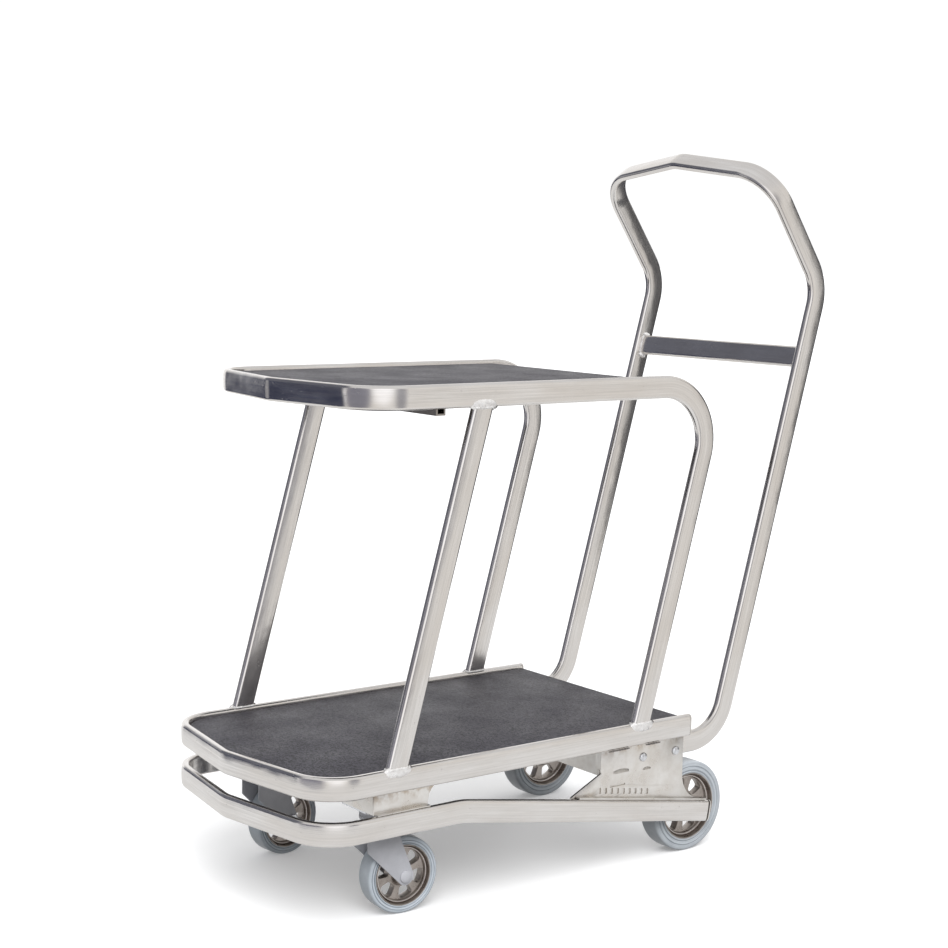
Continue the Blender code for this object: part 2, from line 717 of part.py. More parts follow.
def add_fork(side_name, swivel):
    """The swivel head and the folded fork, which turn together about the kingpin."""
    head_top = CHANNEL_BOTTOM_Z - GAP - CASTER_PLATE.z - GAP
    inner = KINGPIN_RADIUS + GAP
    head = (
        (FORK_TOP_Z + GAP, inner),
        (FORK_TOP_Z + GAP, 0.022),
        (FORK_TOP_Z + 0.007, 0.027),
        (head_top - 0.006, 0.027),
        (head_top, 0.024),
        (head_top, inner),
    )
    add_lathe(f"swivel_head_{side_name}", head, "grey_paint", "Z", swivel, segments=24)
    half = FORK_WIDE / 2
    name = f"fork_{side_name}"
    fork = add_prism(name, fork_outline(), 0, -half, half, "grey_paint", swivel)
    slot_top = FORK_TOP_Z - FORK_SHEET
    slot = box_outline(-0.06, 0.0, 0.08, slot_top)
    inside = half - FORK_SHEET
    cut(fork, add_prism(f"cut_slot_{side_name}", slot, 0, -inside, inside, parent=swivel))
    pin_hole = ((slot_top - 0.01, 0), (slot_top - 0.01, inner), (FORK_TOP_Z + 0.01, inner))
    pin_hole += ((FORK_TOP_Z + 0.01, 0),)
    hole = add_lathe(f"cut_crown_{side_name}", pin_hole, "zinc", "Z", swivel, False, 16)
    cut(fork, hole)
    radius = AXLE_RADIUS + GAP
    axle_hole = ((-0.03, 0), (-0.03, radius), (0.03, radius), (0.03, 0))
    hole = add_lathe(f"cut_foot_{side_name}", axle_hole, "zinc", "X", swivel, False, 16)
    hole.location = (0, CASTER_TRAIL, FRONT_WHEEL["radius"])
    cut(fork, hole)


def add_fork_axle(side_name, swivel):
    """Axle bolt with a round cap outside and a nut inside the cart."""
    place = (0, CASTER_TRAIL, FRONT_WHEEL["radius"])
    turn = 0 if side_name == "left" else math.pi
    half = FORK_WIDE / 2 + GAP
    bolt_profile = (
        (-half - 0.008, 0),
        (-half - 0.008, AXLE_RADIUS),
        (half, AXLE_RADIUS),
        (half, 0.0105),
        (half + 0.002, 0.0100),
        (half + 0.0035, 0.0060),
        (half + 0.0040, 0),
    )
    bolt = add_lathe(f"fork_axle_{side_name}", bolt_profile, "grey_paint", "X", swivel, False, 16)
    bolt.location = place
    bolt.rotation_euler.z = turn
    add_axle_nut(f"fork_axle_nut_{side_name}", place, turn, -half - 0.0065, -half, swivel)


def build():
    clear_scene()
    make_materials()
    add_upper_frame()
    add_lower_frame()
    add_nesting_rail()
    add_handle()
    add_crossbar()
    add_front_legs()
    add_boards()
    add_bearers()
    add_caster_channel()
    add_channel_ends()
    add_cross_member()
    add_side_plates()
    add_end_caps()
    add_rear_wheels()
    add_casters()


build()
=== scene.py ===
"""Looks of a nestable two-deck luggage cart: fine tubes, welds, boards, wheels, casters and studio.

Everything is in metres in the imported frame: nose at -Y, handle at +Y, left side at +X.
"""

import json
import math

import bmesh
import bpy
from mathutils import Matrix, Vector, noise


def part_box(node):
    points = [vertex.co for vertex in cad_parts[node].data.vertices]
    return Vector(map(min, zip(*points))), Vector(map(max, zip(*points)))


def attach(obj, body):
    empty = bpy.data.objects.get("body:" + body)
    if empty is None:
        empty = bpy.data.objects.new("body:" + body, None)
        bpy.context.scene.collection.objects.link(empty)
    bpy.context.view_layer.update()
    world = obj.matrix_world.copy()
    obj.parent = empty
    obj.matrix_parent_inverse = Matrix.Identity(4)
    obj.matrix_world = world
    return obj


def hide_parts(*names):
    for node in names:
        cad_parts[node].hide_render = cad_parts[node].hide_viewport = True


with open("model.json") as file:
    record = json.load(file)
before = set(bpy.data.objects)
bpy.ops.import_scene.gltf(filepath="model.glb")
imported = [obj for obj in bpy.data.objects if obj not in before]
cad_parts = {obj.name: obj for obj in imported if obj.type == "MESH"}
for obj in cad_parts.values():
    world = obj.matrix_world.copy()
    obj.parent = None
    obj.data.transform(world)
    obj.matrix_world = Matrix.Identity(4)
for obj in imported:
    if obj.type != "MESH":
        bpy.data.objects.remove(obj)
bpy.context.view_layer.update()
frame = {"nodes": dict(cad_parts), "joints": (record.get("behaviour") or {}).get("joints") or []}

SIDES = (("left", 1), ("right", -1))
JOINTS = {joint["name"]: joint for joint in frame["joints"]}
GAP = 0.0003

# The flat tube that the frames are bent from. Its tall sides are crowned by this slope.
TUBE_TALL = 0.038
TUBE_THICK = 0.015
TUBE_CORNER = 0.006
TUBE_CROWN = math.radians(5)
DEGREES_PER_STATION = 3

# Bends and slopes of the frames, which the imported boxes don't give.
NOSE_SLOPE = 0.15
CORNER_RADIUS = 0.0735
NOSE_BEND_RADIUS = 0.060
LEAN = math.radians(15.5)
FRONT_LEG = Vector((0, -0.3200, 0.475))
REAR_LEG = Vector((0, 0.1841, 0.475))
HANDLE_LEG = Vector((0, 0.4276, 0.576))
SHOULDER_RADIUS = 0.094
NESTING_BEND_Y = -0.2544
NESTING_SLOPE = -0.169
NESTING_BEND_RADIUS = 0.150
HANDLE_FOOT_RADIUS = 0.080
HANDLE_KINK_Z = 0.9946
HANDLE_KINK_RADIUS = 0.085
HOOP_LEAN = math.radians(35)
HOOP_LENGTH = 0.266
HOOP_CORNER_RADIUS = 0.076
HOOP_WAY = Vector((0, -math.sin(HOOP_LEAN), math.cos(HOOP_LEAN)))

# Across and along a leaning leg, square to X.
LEG_ACROSS = Vector((0, math.cos(LEAN), -math.sin(LEAN)))
LEG_UP = Vector((0, math.sin(LEAN), math.cos(LEAN)))

# Each kind of wheel: radius, rim radius, half-width, hub radius, and turn in degrees at rest.
WHEELS = {
    "rear": (0.080, 0.0585, 0.020, 0.020, 19),
    "front": (0.0625, 0.0493, 0.018, 0.016, 15.5),
}
PIN_HOLE = 0.0063


def rim_scale(rim):
    """How much larger a rim's steps are than the front rim's."""
    return rim / WHEELS["front"][1]


def low(node):
    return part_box(node)[0]


def high(node):
    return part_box(node)[1]


RAIL_X = high("lower_frame_tube").x - TUBE_THICK / 2
HANDLE_X = high("handle_tube").x - TUBE_THICK / 2
UPPER_Z = high("upper_frame_tube").z - TUBE_TALL / 2
LOWER_Z = high("lower_frame_tube").z - TUBE_TALL / 2
NESTING_Z = high("nesting_rail").z - TUBE_TALL / 2
NOSE_BEND_DROP = NOSE_BEND_RADIUS * (math.hypot(1, NOSE_SLOPE) - 1)
UPPER_NOSE_Y = low("upper_frame_tube").y + TUBE_THICK / 2 - NOSE_BEND_DROP
LOWER_NOSE_Y = low("lower_frame_tube").y + TUBE_THICK / 2 - NOSE_BEND_DROP
LOWER_REAR_Y = high("lower_frame_tube").y
NESTING_REAR_Y = low("nesting_rail_cap_left").y - GAP
HANDLE_FOOT_Y = low("handle_tube").y
HANDLE_FOOT_Z = low("handle_tube").z + TUBE_TALL / 2
CROSSBAR_Z = (low("handle_crossbar").z + high("handle_crossbar").z) / 2
PLATE_X = RAIL_X - TUBE_THICK / 2 - GAP
LEG_FOOT_Z = LOWER_Z + TUBE_TALL / 2
LEG_HEAD_Z = UPPER_Z - TUBE_TALL / 2


# ---- materials


class Shading:
    """A node tree and short ways to add nodes to it."""

    def __init__(self, tree):
        self.tree = tree

    def node(self, kind, inputs=None, **settings):
        made = self.tree.nodes.new(kind)
        for name, value in settings.items():
            setattr(made, name, value)
        for name, value in (inputs or {}).items():
            self.feed(made.inputs[name], value)
        return made

    def feed(self, target, value):
        """Links value to the input, or sets it where it is plain numbers."""
        if isinstance(value, bpy.types.NodeSocket):
            self.tree.links.new(value, target)
        else:
            target.default_value = value

    def span(self, value, low_in, high_in, low_out=0.0, high_out=1.0, **settings):
        inputs = dict(enumerate((value, low_in, high_in, low_out, high_out)))
        return self.node("ShaderNodeMapRange", inputs, **settings).outputs[0]

    def maths(self, operation, first, second):
        return self.node("ShaderNodeMath", {0: first, 1: second}, operation=operation).outputs[0]

    def times(self, first, second):
        return self.maths("MULTIPLY", first, second)

    def vectors(self, operation, *inputs):
        """The new vector, or the number that a length or a dot product is."""
        made = self.node("ShaderNodeVectorMath", dict(enumerate(inputs)), operation=operation)
        return made.outputs[1 if operation in ("LENGTH", "DOT_PRODUCT") else 0]

    def mix(self, factor, first, second):
        """Blends two colours, each an (r, g, b) or a socket."""
        made = self.node("ShaderNodeMix", {0: factor}, data_type="RGBA")
        for index, colour in ((6, first), (7, second)):
            plain = not isinstance(colour, bpy.types.NodeSocket)
            self.feed(made.inputs[index], (*colour, 1) if plain else colour)
        return made.outputs[2]


class Look(Shading):
    """A Principled material, painted by places on its own piece."""

    def __init__(self, name, colour, roughness, metallic=0.0, **sockets):
        self.material = bpy.data.materials.new(name)
        self.material.use_nodes = True
        super().__init__(self.material.node_tree)
        self.shader = self.tree.nodes["Principled BSDF"]
        self.set("Base Color", (*colour, 1))
        self.set("Roughness", roughness)
        self.set("Metallic", metallic)
        for socket, value in sockets.items():
            self.set(socket.replace("_", " "), value)
        self.place = self.node("ShaderNodeTexCoord").outputs["Object"]

    def set(self, socket, value):
        self.feed(self.shader.inputs[socket], value)

    def along_tube(self):
        """Texture places run along the tube instead of along the axes."""
        self.place = self.node("ShaderNodeAttribute", attribute_name="run").outputs["Vector"]

    def grain(self, stretch, detail=3.0, roughness=0.55):
        """Noise whose features are about 1/stretch metres along each axis, or along all of them."""
        if not isinstance(stretch, tuple):
            stretch = (stretch, stretch, stretch)
        mapped = self.node("ShaderNodeMapping", {"Vector": self.place, "Scale": stretch}).outputs[0]
        inputs = {"Vector": mapped, "Scale": 1.0, "Detail": detail, "Roughness": roughness}
        return self.node("ShaderNodeTexNoise", inputs).outputs[0]

    def height(self):
        return self.node("ShaderNodeSeparateXYZ", {0: self.place}).outputs[2]

    def from_axle(self):
        """The place's distance from the piece's own X axis."""
        return self.vectors("LENGTH", self.vectors("MULTIPLY", self.place, (0, 1, 1)))

    def band(self, value, start, full, fade, end):
        """1 between full and fade, falling to 0 at start and at end."""
        return self.times(self.span(value, start, full), self.span(value, fade, end, 1.0, 0.0))

    def painted(self, tone, *relief, rough=None):
        """The material with its colour, roughness and (height, strength, depth in metres) relief."""
        self.set("Base Color", tone)
        if rough is not None:
            self.set("Roughness", rough)
        normal = None
        for height, strength, depth in relief:
            inputs = {"Height": height, "Strength": strength, "Distance": depth}
            if normal is not None:
                inputs["Normal"] = normal
            normal = self.node("ShaderNodeBump", inputs).outputs[0]
            self.set("Normal", normal)
        return self.material


def tube_look():
    """Satin polished steel with faint lines along the tube, cloudy patches and small scuffs."""
    look = Look("satin_tube", (0.8, 0.8, 0.8), 0.2, 1.0)
    look.along_tube()
    broad = look.grain((420, 420, 5), 3.0, 0.6)
    lines = look.grain((1500, 1500, 14), 2.0)
    clouds = look.grain((30, 30, 9))
    scuffs = look.span(look.grain((220, 220, 90), 4.0, 0.7), 0.66, 0.74)
    waves = look.grain((44, 44, 24), 1.0)
    tone = look.mix(look.span(clouds, 0.35, 0.65), (0.725, 0.690, 0.655), (0.83, 0.81, 0.79))
    tone = look.mix(look.span(broad, 0.34, 0.68, 0.0, 0.55), tone, (0.60, 0.575, 0.55))
    tone = look.mix(look.span(lines, 0.30, 0.70, 0.0, 0.25), tone, (0.64, 0.62, 0.60))
    tone = look.mix(look.times(scuffs, 0.45), tone, (0.42, 0.40, 0.38))
    rough = look.span(broad, 0.25, 0.75, 0.12, 0.24)
    rough = look.maths("ADD", rough, look.span(clouds, 0.40, 0.70, 0.0, 0.06))
    rough = look.maths("ADD", rough, look.times(scuffs, 0.18))
    relief = ((waves, 0.45, 0.0011), (broad, 0.12, 0.00022), (lines, 0.10, 0.00010))
    return look.painted(tone, *relief, rough=rough)


def sheet_look(
    name="satin_sheet",
    heat_level=None,
    heat_depth=None,
    tones=((0.68, 0.645, 0.60), (0.83, 0.81, 0.78)),
):
    """Folded steel sheet: cream tone, smudges, and brown heat tint below a welded edge's height."""
    look = Look(name, (0.7, 0.7, 0.7), 0.3, 1.0)
    lines = look.grain((24, 24, 900), 2.0)
    clouds = look.grain(34)
    specks = look.span(look.grain(170, 5.0, 0.7), 0.64, 0.72)
    tone = look.mix(look.span(clouds, 0.34, 0.66), *tones)
    tone = look.mix(look.times(specks, 0.4), tone, (0.40, 0.36, 0.31))
    if heat_level is not None:
        fade = look.span(look.height(), heat_level - heat_depth, heat_level)
        patch = look.span(look.grain((55, 75, 55)), 0.44, 0.62)
        tone = look.mix(look.times(look.times(fade, patch), 0.75), tone, (0.34, 0.235, 0.13))
    relief = ((look.grain(45, 1.0), 0.25, 0.0012), (lines, 0.10, 0.00012))
    return look.painted(tone, *relief, rough=look.span(clouds, 0.3, 0.7, 0.24, 0.38))


def weld_look():
    """Bright, lumpy weld metal with dark specks."""
    look = Look("weld_metal", (0.85, 0.85, 0.85), 0.3, 0.55)
    blotch = look.grain(140)
    tone = look.mix(look.span(blotch, 0.36, 0.62), (0.97, 0.96, 0.95), (0.82, 0.80, 0.785))
    dark = look.span(look.grain(420, 4.0, 0.7), 0.62, 0.72)
    tone = look.mix(look.times(dark, 0.5), tone, (0.33, 0.30, 0.30))
    rough = look.span(blotch, 0.3, 0.7, 0.24, 0.46)
    return look.painted(tone, (look.grain(700, 4.0), 0.5, 0.0004), rough=rough)


def burn_and_shadow_look():
    """Dark weld oxide, also laid beside the leg welds' metal as a painted shadow."""
    look = Look("weld_burn_and_shadow", (0.12, 0.11, 0.11), 0.5, 0.5)
    soot = look.grain(300, 4.0, 0.7)
    tone = look.mix(look.span(soot, 0.38, 0.62), (0.05, 0.045, 0.05), (0.30, 0.27, 0.25))
    return look.painted(tone, (soot, 0.4, 0.0003))


def deck_look():
    """Dark anti-slip film: a coarse speckled grain, short pale scratches both ways and worn patches."""
    look = Look("deck_film", (0.05, 0.05, 0.05), 0.5, Specular_IOR_Level=0.55)
    grain = look.grain(230, 2.0, 0.7)
    fine = look.grain(420, 2.0, 0.7)
    along = look.grain((300, 34, 1), 3.0, 0.62)
    across = look.grain((34, 300, 1), 3.0, 0.62)
    clouds = look.grain(13)
    tone = look.mix(look.span(grain, 0.42, 0.58), (0.000, 0.000, 0.003), (0.060, 0.057, 0.070))
    tone = look.mix(look.span(fine, 0.54, 0.63, 0.0, 0.90), tone, (0.120, 0.115, 0.132))
    tone = look.mix(look.span(clouds, 0.36, 0.68, 0.0, 0.30), tone, (0.035, 0.033, 0.042))
    for scratches in (along, across):
        tone = look.mix(look.span(scratches, 0.60, 0.76, 0.0, 0.60), tone, (0.145, 0.141, 0.155))
    rough = look.span(clouds, 0.3, 0.7, 0.50, 0.66)
    return look.painted(tone, (grain, 0.55, 0.0009), (fine, 0.35, 0.0004), rough=rough)


def ply_look():
    """The board's cut edge: thin wood layers, pale and dark by turns, sealed with brown lacquer."""
    look = Look("board_edge", (0.3, 0.2, 0.12), 0.55)
    layers = look.grain((8, 8, 620), 1.0)
    fibres = look.grain((60, 60, 900), 4.0)
    tone = look.mix(look.span(layers, 0.42, 0.58), (0.10, 0.062, 0.038), (0.26, 0.175, 0.105))
    tone = look.mix(look.span(fibres, 0.4, 0.7, 0.0, 0.5), tone, (0.07, 0.05, 0.035))
    return look.painted(tone, (fibres, 0.3, 0.0004))


def rubber_look(kind, *tones):
    """Blue-grey non-marking rubber: rings of painted shade in its side grooves and of painted highlight
    beside them, and a faint dusty bloom.
    """
    look = Look(f"{kind}_rubber", (0.36, 0.42, 0.47), 0.4, Specular_IOR_Level=0.5)
    radius, rim = WHEELS[kind][:2]
    bloom = look.grain(38, 4.0)
    fine = look.grain(1300)
    dust = look.span(look.grain(260, 4.0, 0.7), 0.58, 0.74)
    level = look.from_axle()
    tone = look.mix(look.span(bloom, 0.32, 0.68), *tones)
    # Dark rings paint shade into the grooves; pale rings paint highlights.
    for share, breadth, strength, painted_light_tone in TYRE_PAINTED_RINGS:
        centre = rim + share * (radius - rim)
        edges = (centre + breadth * way for way in (-1, -1 / 3, 1 / 3, 1))
        tone = look.mix(look.times(look.band(level, *edges), strength), tone, painted_light_tone)
    tone = look.mix(look.times(dust, 0.30), tone, (0.36, 0.38, 0.39))
    rough = look.span(bloom, 0.3, 0.7, 0.28, 0.42)
    return look.painted(tone, (bloom, 0.15, 0.0010), (fine, 0.20, 0.00012), rough=rough)


def rim_look(kind):
    """Cast metal with a champagne tone: pitted, with painted shade in the groove inside its rim and a
    painted highlight on the ridge.
    """
    look = Look(f"cast_{kind}_rim", (0.45, 0.41, 0.36), 0.4, 0.85)
    rim = WHEELS[kind][1]
    scale = rim_scale(rim)
    pits = look.grain(700, 4.0, 0.6)
    clouds = look.grain(60)
    radius = look.from_axle()
    # Two bands: the groove for painted shade, the ridge for a painted highlight.
    groove, ridge = (
        look.band(radius, *(rim - depth * scale for depth in depths))
        for depths in ((0.0045, 0.0041, 0.0030, 0.0012), (0.0065, 0.0061, 0.0049, 0.0045))
    )
    tone = look.mix(look.span(clouds, 0.34, 0.66), (0.30, 0.265, 0.24), (0.48, 0.435, 0.40))
    tone = look.mix(look.span(pits, 0.50, 0.70, 0.0, 0.6), tone, (0.22, 0.18, 0.155))
    # Painted shade in the groove, then a painted highlight on the ridge.
    tone = look.mix(look.times(groove, 0.78), tone, (0.13, 0.100, 0.085))
    tone = look.mix(look.times(ridge, 0.85), tone, (0.92, 0.87, 0.84))
    return look.painted(tone, (pits, 0.4, 0.00035), rough=look.span(clouds, 0.3, 0.7, 0.24, 0.40))


def paint_look():
    """Light grey powder coat with a fine orange peel."""
    look = Look("grey_powder_coat", (0.42, 0.42, 0.46), 0.4, Coat_Weight=0.15, Coat_Roughness=0.25)
    peel = look.grain(420, 2.0)
    tone = look.mix(look.span(look.grain(50), 0.3, 0.7), (0.50, 0.505, 0.54), (0.57, 0.575, 0.61))
    return look.painted(tone, (peel, 0.20, 0.00030), rough=look.span(peel, 0.3, 0.7, 0.34, 0.48))


def zinc_look():
    look = Look("zinc_plate", (0.7, 0.7, 0.72), 0.3, 1.0)
    clouds = look.grain(190, 4.0)
    tone = look.mix(look.span(clouds, 0.32, 0.68), (0.60, 0.61, 0.63), (0.80, 0.81, 0.83))
    return look.painted(tone, (clouds, 0.15, 0.0003), rough=look.span(clouds, 0.3, 0.7, 0.20, 0.38))


def plastic_look():
    look = Look("dark_plastic", (0.035, 0.035, 0.038), 0.45)
    fine = look.grain(800)
    tone = look.mix(look.span(fine, 0.3, 0.7), (0.028, 0.028, 0.031), (0.048, 0.048, 0.052))
    return look.painted(tone, (fine, 0.2, 0.0002), rough=look.span(fine, 0.3, 0.7, 0.38, 0.55))


# A tyre side's rings of painted light, dark ones as painted shade in its two grooves, pale ones as painted
# highlights between and beyond them: share of the wall, half-breadth, strength and tone.
TYRE_PAINTED_RINGS = (
    (0.20, 0.0007, 0.75, (0.16, 0.19, 0.23)),
    (0.39, 0.0013, 0.45, (0.72, 0.78, 0.84)),
    (0.54, 0.0006, 0.70, (0.18, 0.21, 0.25)),
    (0.70, 0.0010, 0.35, (0.70, 0.76, 0.82)),
)

WELD_Z = low("lower_frame_tube").z
LOOKS = {
    "tube": tube_look(),
    "sheet": sheet_look(),
    "bearer": sheet_look("bearer_sheet", tones=((0.26, 0.235, 0.215), (0.38, 0.35, 0.32))),
    "plate": sheet_look("welded_plate", WELD_Z, 0.016),
    "plate_end": sheet_look("welded_channel_end", WELD_Z, 0.020),
    # Dark weld oxide, and also the painted shadow round the leg weld pads.
    "weld": weld_look(),
    "burn_and_shadow": burn_and_shadow_look(),
    "deck": deck_look(),
    "ply": ply_look(),
    "front_tyre": rubber_look("front", (0.47, 0.525, 0.58), (0.60, 0.65, 0.70)),
    "rear_tyre": rubber_look("rear", (0.44, 0.475, 0.51), (0.54, 0.575, 0.61)),
    "front_rim": rim_look("front"),
    "rear_rim": rim_look("rear"),
    "paint": paint_look(),
    "zinc": zinc_look(),
    "plastic": plastic_look(),
}


# ---- building pieces


def new_object(name, data):
    made = bpy.data.objects.new(name, data)
    bpy.context.scene.collection.objects.link(made)
    return made


def add_piece(name, mesh, look, body, slot, nodes=(), place=None, turn=0.0):
    """Links the mesh as a piece that rides on a body and stands for some CAD nodes."""
    piece = new_object(name, mesh)
    mesh.materials.append(LOOKS[look])
    if place is not None:
        piece.location = place
        piece.rotation_euler.z = turn
    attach(piece, body)
    if nodes:
        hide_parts(*nodes)
    return piece


def mesh_of(name, shape, smooth_degrees=30):
    """A mesh from a bmesh, smooth except where faces meet at more than this angle."""
    bmesh.ops.recalc_face_normals(shape, faces=shape.faces)
    mesh = bpy.data.meshes.new(name)
    shape.to_mesh(mesh)
    shape.free()
    mesh.shade_smooth()
    mesh.set_sharp_from_angle(angle=math.radians(smooth_degrees))
    return mesh


def add_bevel(piece, width, segments, degrees):
    """Rounds the edges where faces meet at more than this angle."""
    bevel = piece.modifiers.new("edges", "BEVEL")
    bevel.width = width
    bevel.segments = segments
    bevel.limit_method = "ANGLE"
    bevel.angle_limit = math.radians(degrees)
    return bevel


def carved(name, mesh, cutters=(), bevel=None, operation="DIFFERENCE", segments=2):
    """The mesh after Booleans with the cutter meshes and a small bevel on its sharp edges."""
    helpers = [new_object(name, mesh)]
    for cutter in cutters:
        helpers.append(new_object("cutter", cutter))
        boolean = helpers[0].modifiers.new("cut", "BOOLEAN")
        boolean.operation = operation
        boolean.object = helpers[-1]
    if bevel:
        add_bevel(helpers[0], bevel, segments, 35).miter_outer = "MITER_ARC"
    bpy.context.view_layer.update()
    graph = bpy.context.evaluated_depsgraph_get()
    made = bpy.data.meshes.new_from_object(helpers[0].evaluated_get(graph))
    for helper in helpers:
        bpy.data.objects.remove(helper)
    made.name = name
    made.shade_smooth()
    made.set_sharp_from_angle(angle=math.radians(32))
    return made


def loft(shape, rings, looped=False):
    """Joins rings of vertices by faces, and closes the two ends unless the last meets the first."""
    pairs = list(zip(rings, rings[1:]))
    if looped:
        pairs.append((rings[-1], rings[0]))
    else:
        shape.faces.new(rings[0])
        shape.faces.new(rings[-1])
    for first, second in pairs:
        for i in range(len(first)):
            shape.faces.new((first[i - 1], first[i], second[i], second[i - 1]))


def prism(outline, axis, start, end):
    """A bmesh of the outline's pairs, extruded from start to end along axis 0, 1 or 2."""
    shape = bmesh.new()
    rings = []
    for level in (start, end):
        ring = []
        for place in outline:
            place = list(place)
            place.insert(axis, level)
            ring.append(shape.verts.new(place))
        rings.append(ring)
    loft(shape, rings)
    return shape


def turned(profile, segments=96, axis=0, closed=True):
    """A bmesh of (along, radius) pairs turned about X (axis 0) or Z (axis 2)."""
    shape = bmesh.new()
    rings = []
    for along, radius in profile:
        ring = []
        for step in range(segments):
            angle = math.tau * step / segments
            around = (radius * math.cos(angle), radius * math.sin(angle))
            place = (along, *around) if axis == 0 else (*around, along)
            ring.append(shape.verts.new(place))
        rings.append(ring)
    loft(shape, rings, looped=closed)
    return shape


def mirrored(outline):
    """The outline's other half, beyond zero, in the order that carries it on."""
    return [(-first, second) for first, second in reversed(outline)]


def rounded_outline(wide, tall, corner, steps=4):
    """A rounded rectangle as (across, up) pairs."""
    outline = []
    for quarter, (side, level) in enumerate(((1, 1), (-1, 1), (-1, -1), (1, -1))):
        for step in range(steps + 1):
            angle = math.radians(90) * (quarter + step / steps)
            across = side * (wide / 2 - corner) + corner * math.cos(angle)
            outline.append((across, level * (tall / 2 - corner) + corner * math.sin(angle)))
    return outline


def tube_section(corner_steps=6, side_steps=8):
    """The tube's section as (across, up, direction it faces) triples, with crowned tall sides."""
    half = TUBE_TALL / 2 - TUBE_CORNER
    reach = half + TUBE_CORNER * math.sin(TUBE_CROWN)
    bulge = reach * math.tan(TUBE_CROWN / 2)
    centre = TUBE_THICK / 2 - bulge - TUBE_CORNER * math.cos(TUBE_CROWN)
    corner = []
    for step in range(corner_steps + 1):
        angle = TUBE_CROWN + (math.pi / 2 - TUBE_CROWN) * step / corner_steps
        across = centre + TUBE_CORNER * math.cos(angle)
        corner.append((across, half + TUBE_CORNER * math.sin(angle), angle))
    side = []
    for step in range(1, side_steps):
        share = 2 * step / side_steps - 1
        across = TUBE_THICK / 2 - bulge * share * share
        side.append((across, reach * share, TUBE_CROWN * share))
    right = [(across, -up, -angle) for across, up, angle in reversed(corner)] + side + corner
    return right + [(-across, -up, angle + math.pi) for across, up, angle in right]


def bend_path(corners, radii, degrees_per_step=DEGREES_PER_STATION):
    """Stations (point, direction) along straight runs that are joined by round bends."""
    stations = [(corners[0], (corners[1] - corners[0]).normalized())]
    for before, corner, after, radius in zip(corners, corners[1:], corners[2:], radii):
        incoming = (corner - before).normalized()
        outgoing = (after - corner).normalized()
        turn = incoming.angle(outgoing)
        axis = incoming.cross(outgoing).normalized()
        start = corner - incoming * radius * math.tan(turn / 2)
        centre = start + axis.cross(incoming) * radius
        steps = max(3, math.ceil(math.degrees(turn) / degrees_per_step))
        for step in range(steps + 1):
            turned_by = Matrix.Rotation(turn * step / steps, 3, axis)
            stations.append((centre + turned_by @ (start - centre), turned_by @ incoming))
    stations.append((corners[-1], (corners[-1] - corners[-2]).normalized()))
    return stations


def tube_mesh(name, stations, side, end_levels=(None, None)):
    """Sweeps the flat tube's section; its "run" attribute holds places across, up and along it."""
    section = tube_section()
    count = len(section)
    places = []
    vertex_normals = []
    runs = []
    travelled = 0.0
    for number, (point, direction) in enumerate(stations):
        side = (side - direction * side.dot(direction)).normalized()
        up = direction.cross(side)
        if number:
            travelled += (point - stations[number - 1][0]).length
        level = {0: end_levels[0], len(stations) - 1: end_levels[1]}.get(number)
        for across, rise, angle in section:
            place = point + side * across + up * rise
            if level is not None:
                place = place + direction * (level - place.z) / direction.z
            places.append(place)
            vertex_normals.append(side * math.cos(angle) + up * math.sin(angle))
            runs.extend((across, rise, travelled))
    faces = []
    for ring in range(len(stations) - 1):
        start = ring * count
        for i in range(count):
            last = (i - 1) % count
            faces.append((start + last, start + i, start + count + i, start + count + last))
    caps = (tuple(range(count)), tuple(range(len(places) - count, len(places)))[::-1])
    mesh = bpy.data.meshes.new(name)
    mesh.from_pydata(places, [], faces + list(caps))
    if mesh.polygons[0].normal.dot(vertex_normals[0]) < 0:
        mesh.flip_normals()
    mesh.shade_smooth()
    for edge in mesh.edges:
        rings = {vertex // count for vertex in edge.vertices}
        edge.use_edge_sharp = rings in ({0}, {len(stations) - 1})
    attribute = mesh.attributes.new("run", "FLOAT_VECTOR", "POINT")
    attribute.data.foreach_set("vector", runs)
    loops = []
    for polygon in mesh.polygons:
        is_cap = polygon.loop_total == count
        for vertex in polygon.vertices:
            loops.append(polygon.normal.copy() if is_cap else vertex_normals[vertex])
    mesh.normals_split_custom_set(loops)
    return mesh


# ---- tubes


def nose_corners(nose_y, z, inset=0.0):
    """Left side, nose and right side of a frame's centre line, or of a line inset from it."""
    side_x = RAIL_X - inset
    tip_y = nose_y + inset * math.hypot(1, NOSE_SLOPE)
    return [
        Vector((side_x, tip_y + NOSE_SLOPE * side_x, z)),
        Vector((0, tip_y, z)),
        Vector((-side_x, tip_y + NOSE_SLOPE * side_x, z)),
    ]


def nose_radii(inset=0.0):
    return [CORNER_RADIUS - inset, NOSE_BEND_RADIUS - inset, CORNER_RADIUS - inset]


def leaning(base, z, x):
    """The point at height z on a leg's centre line."""
    return Vector((x, base.y + math.tan(LEAN) * (z - base.z), z))


def nesting_height(y):
    return NESTING_Z + NESTING_SLOPE * max(0.0, y - NESTING_BEND_Y)


def handle_corners(side):
    """Foot, heel, kink and hoop corner of one side of the handle."""
    x = HANDLE_X * side
    kink = leaning(HANDLE_LEG, HANDLE_KINK_Z, x)
    return [
        Vector((x, HANDLE_FOOT_Y, HANDLE_FOOT_Z)),
        leaning(HANDLE_LEG, HANDLE_FOOT_Z, x),
        kink,
        kink + HOOP_WAY * (HOOP_LENGTH - NOSE_SLOPE * HANDLE_X),
    ]


def add_tube(name, path, node, side=Vector((1, 0, 0)), end_levels=(None, None)):
    add_piece(name, tube_mesh(name, path, side, end_levels), "tube", "frame", "brushed_tube", [node])


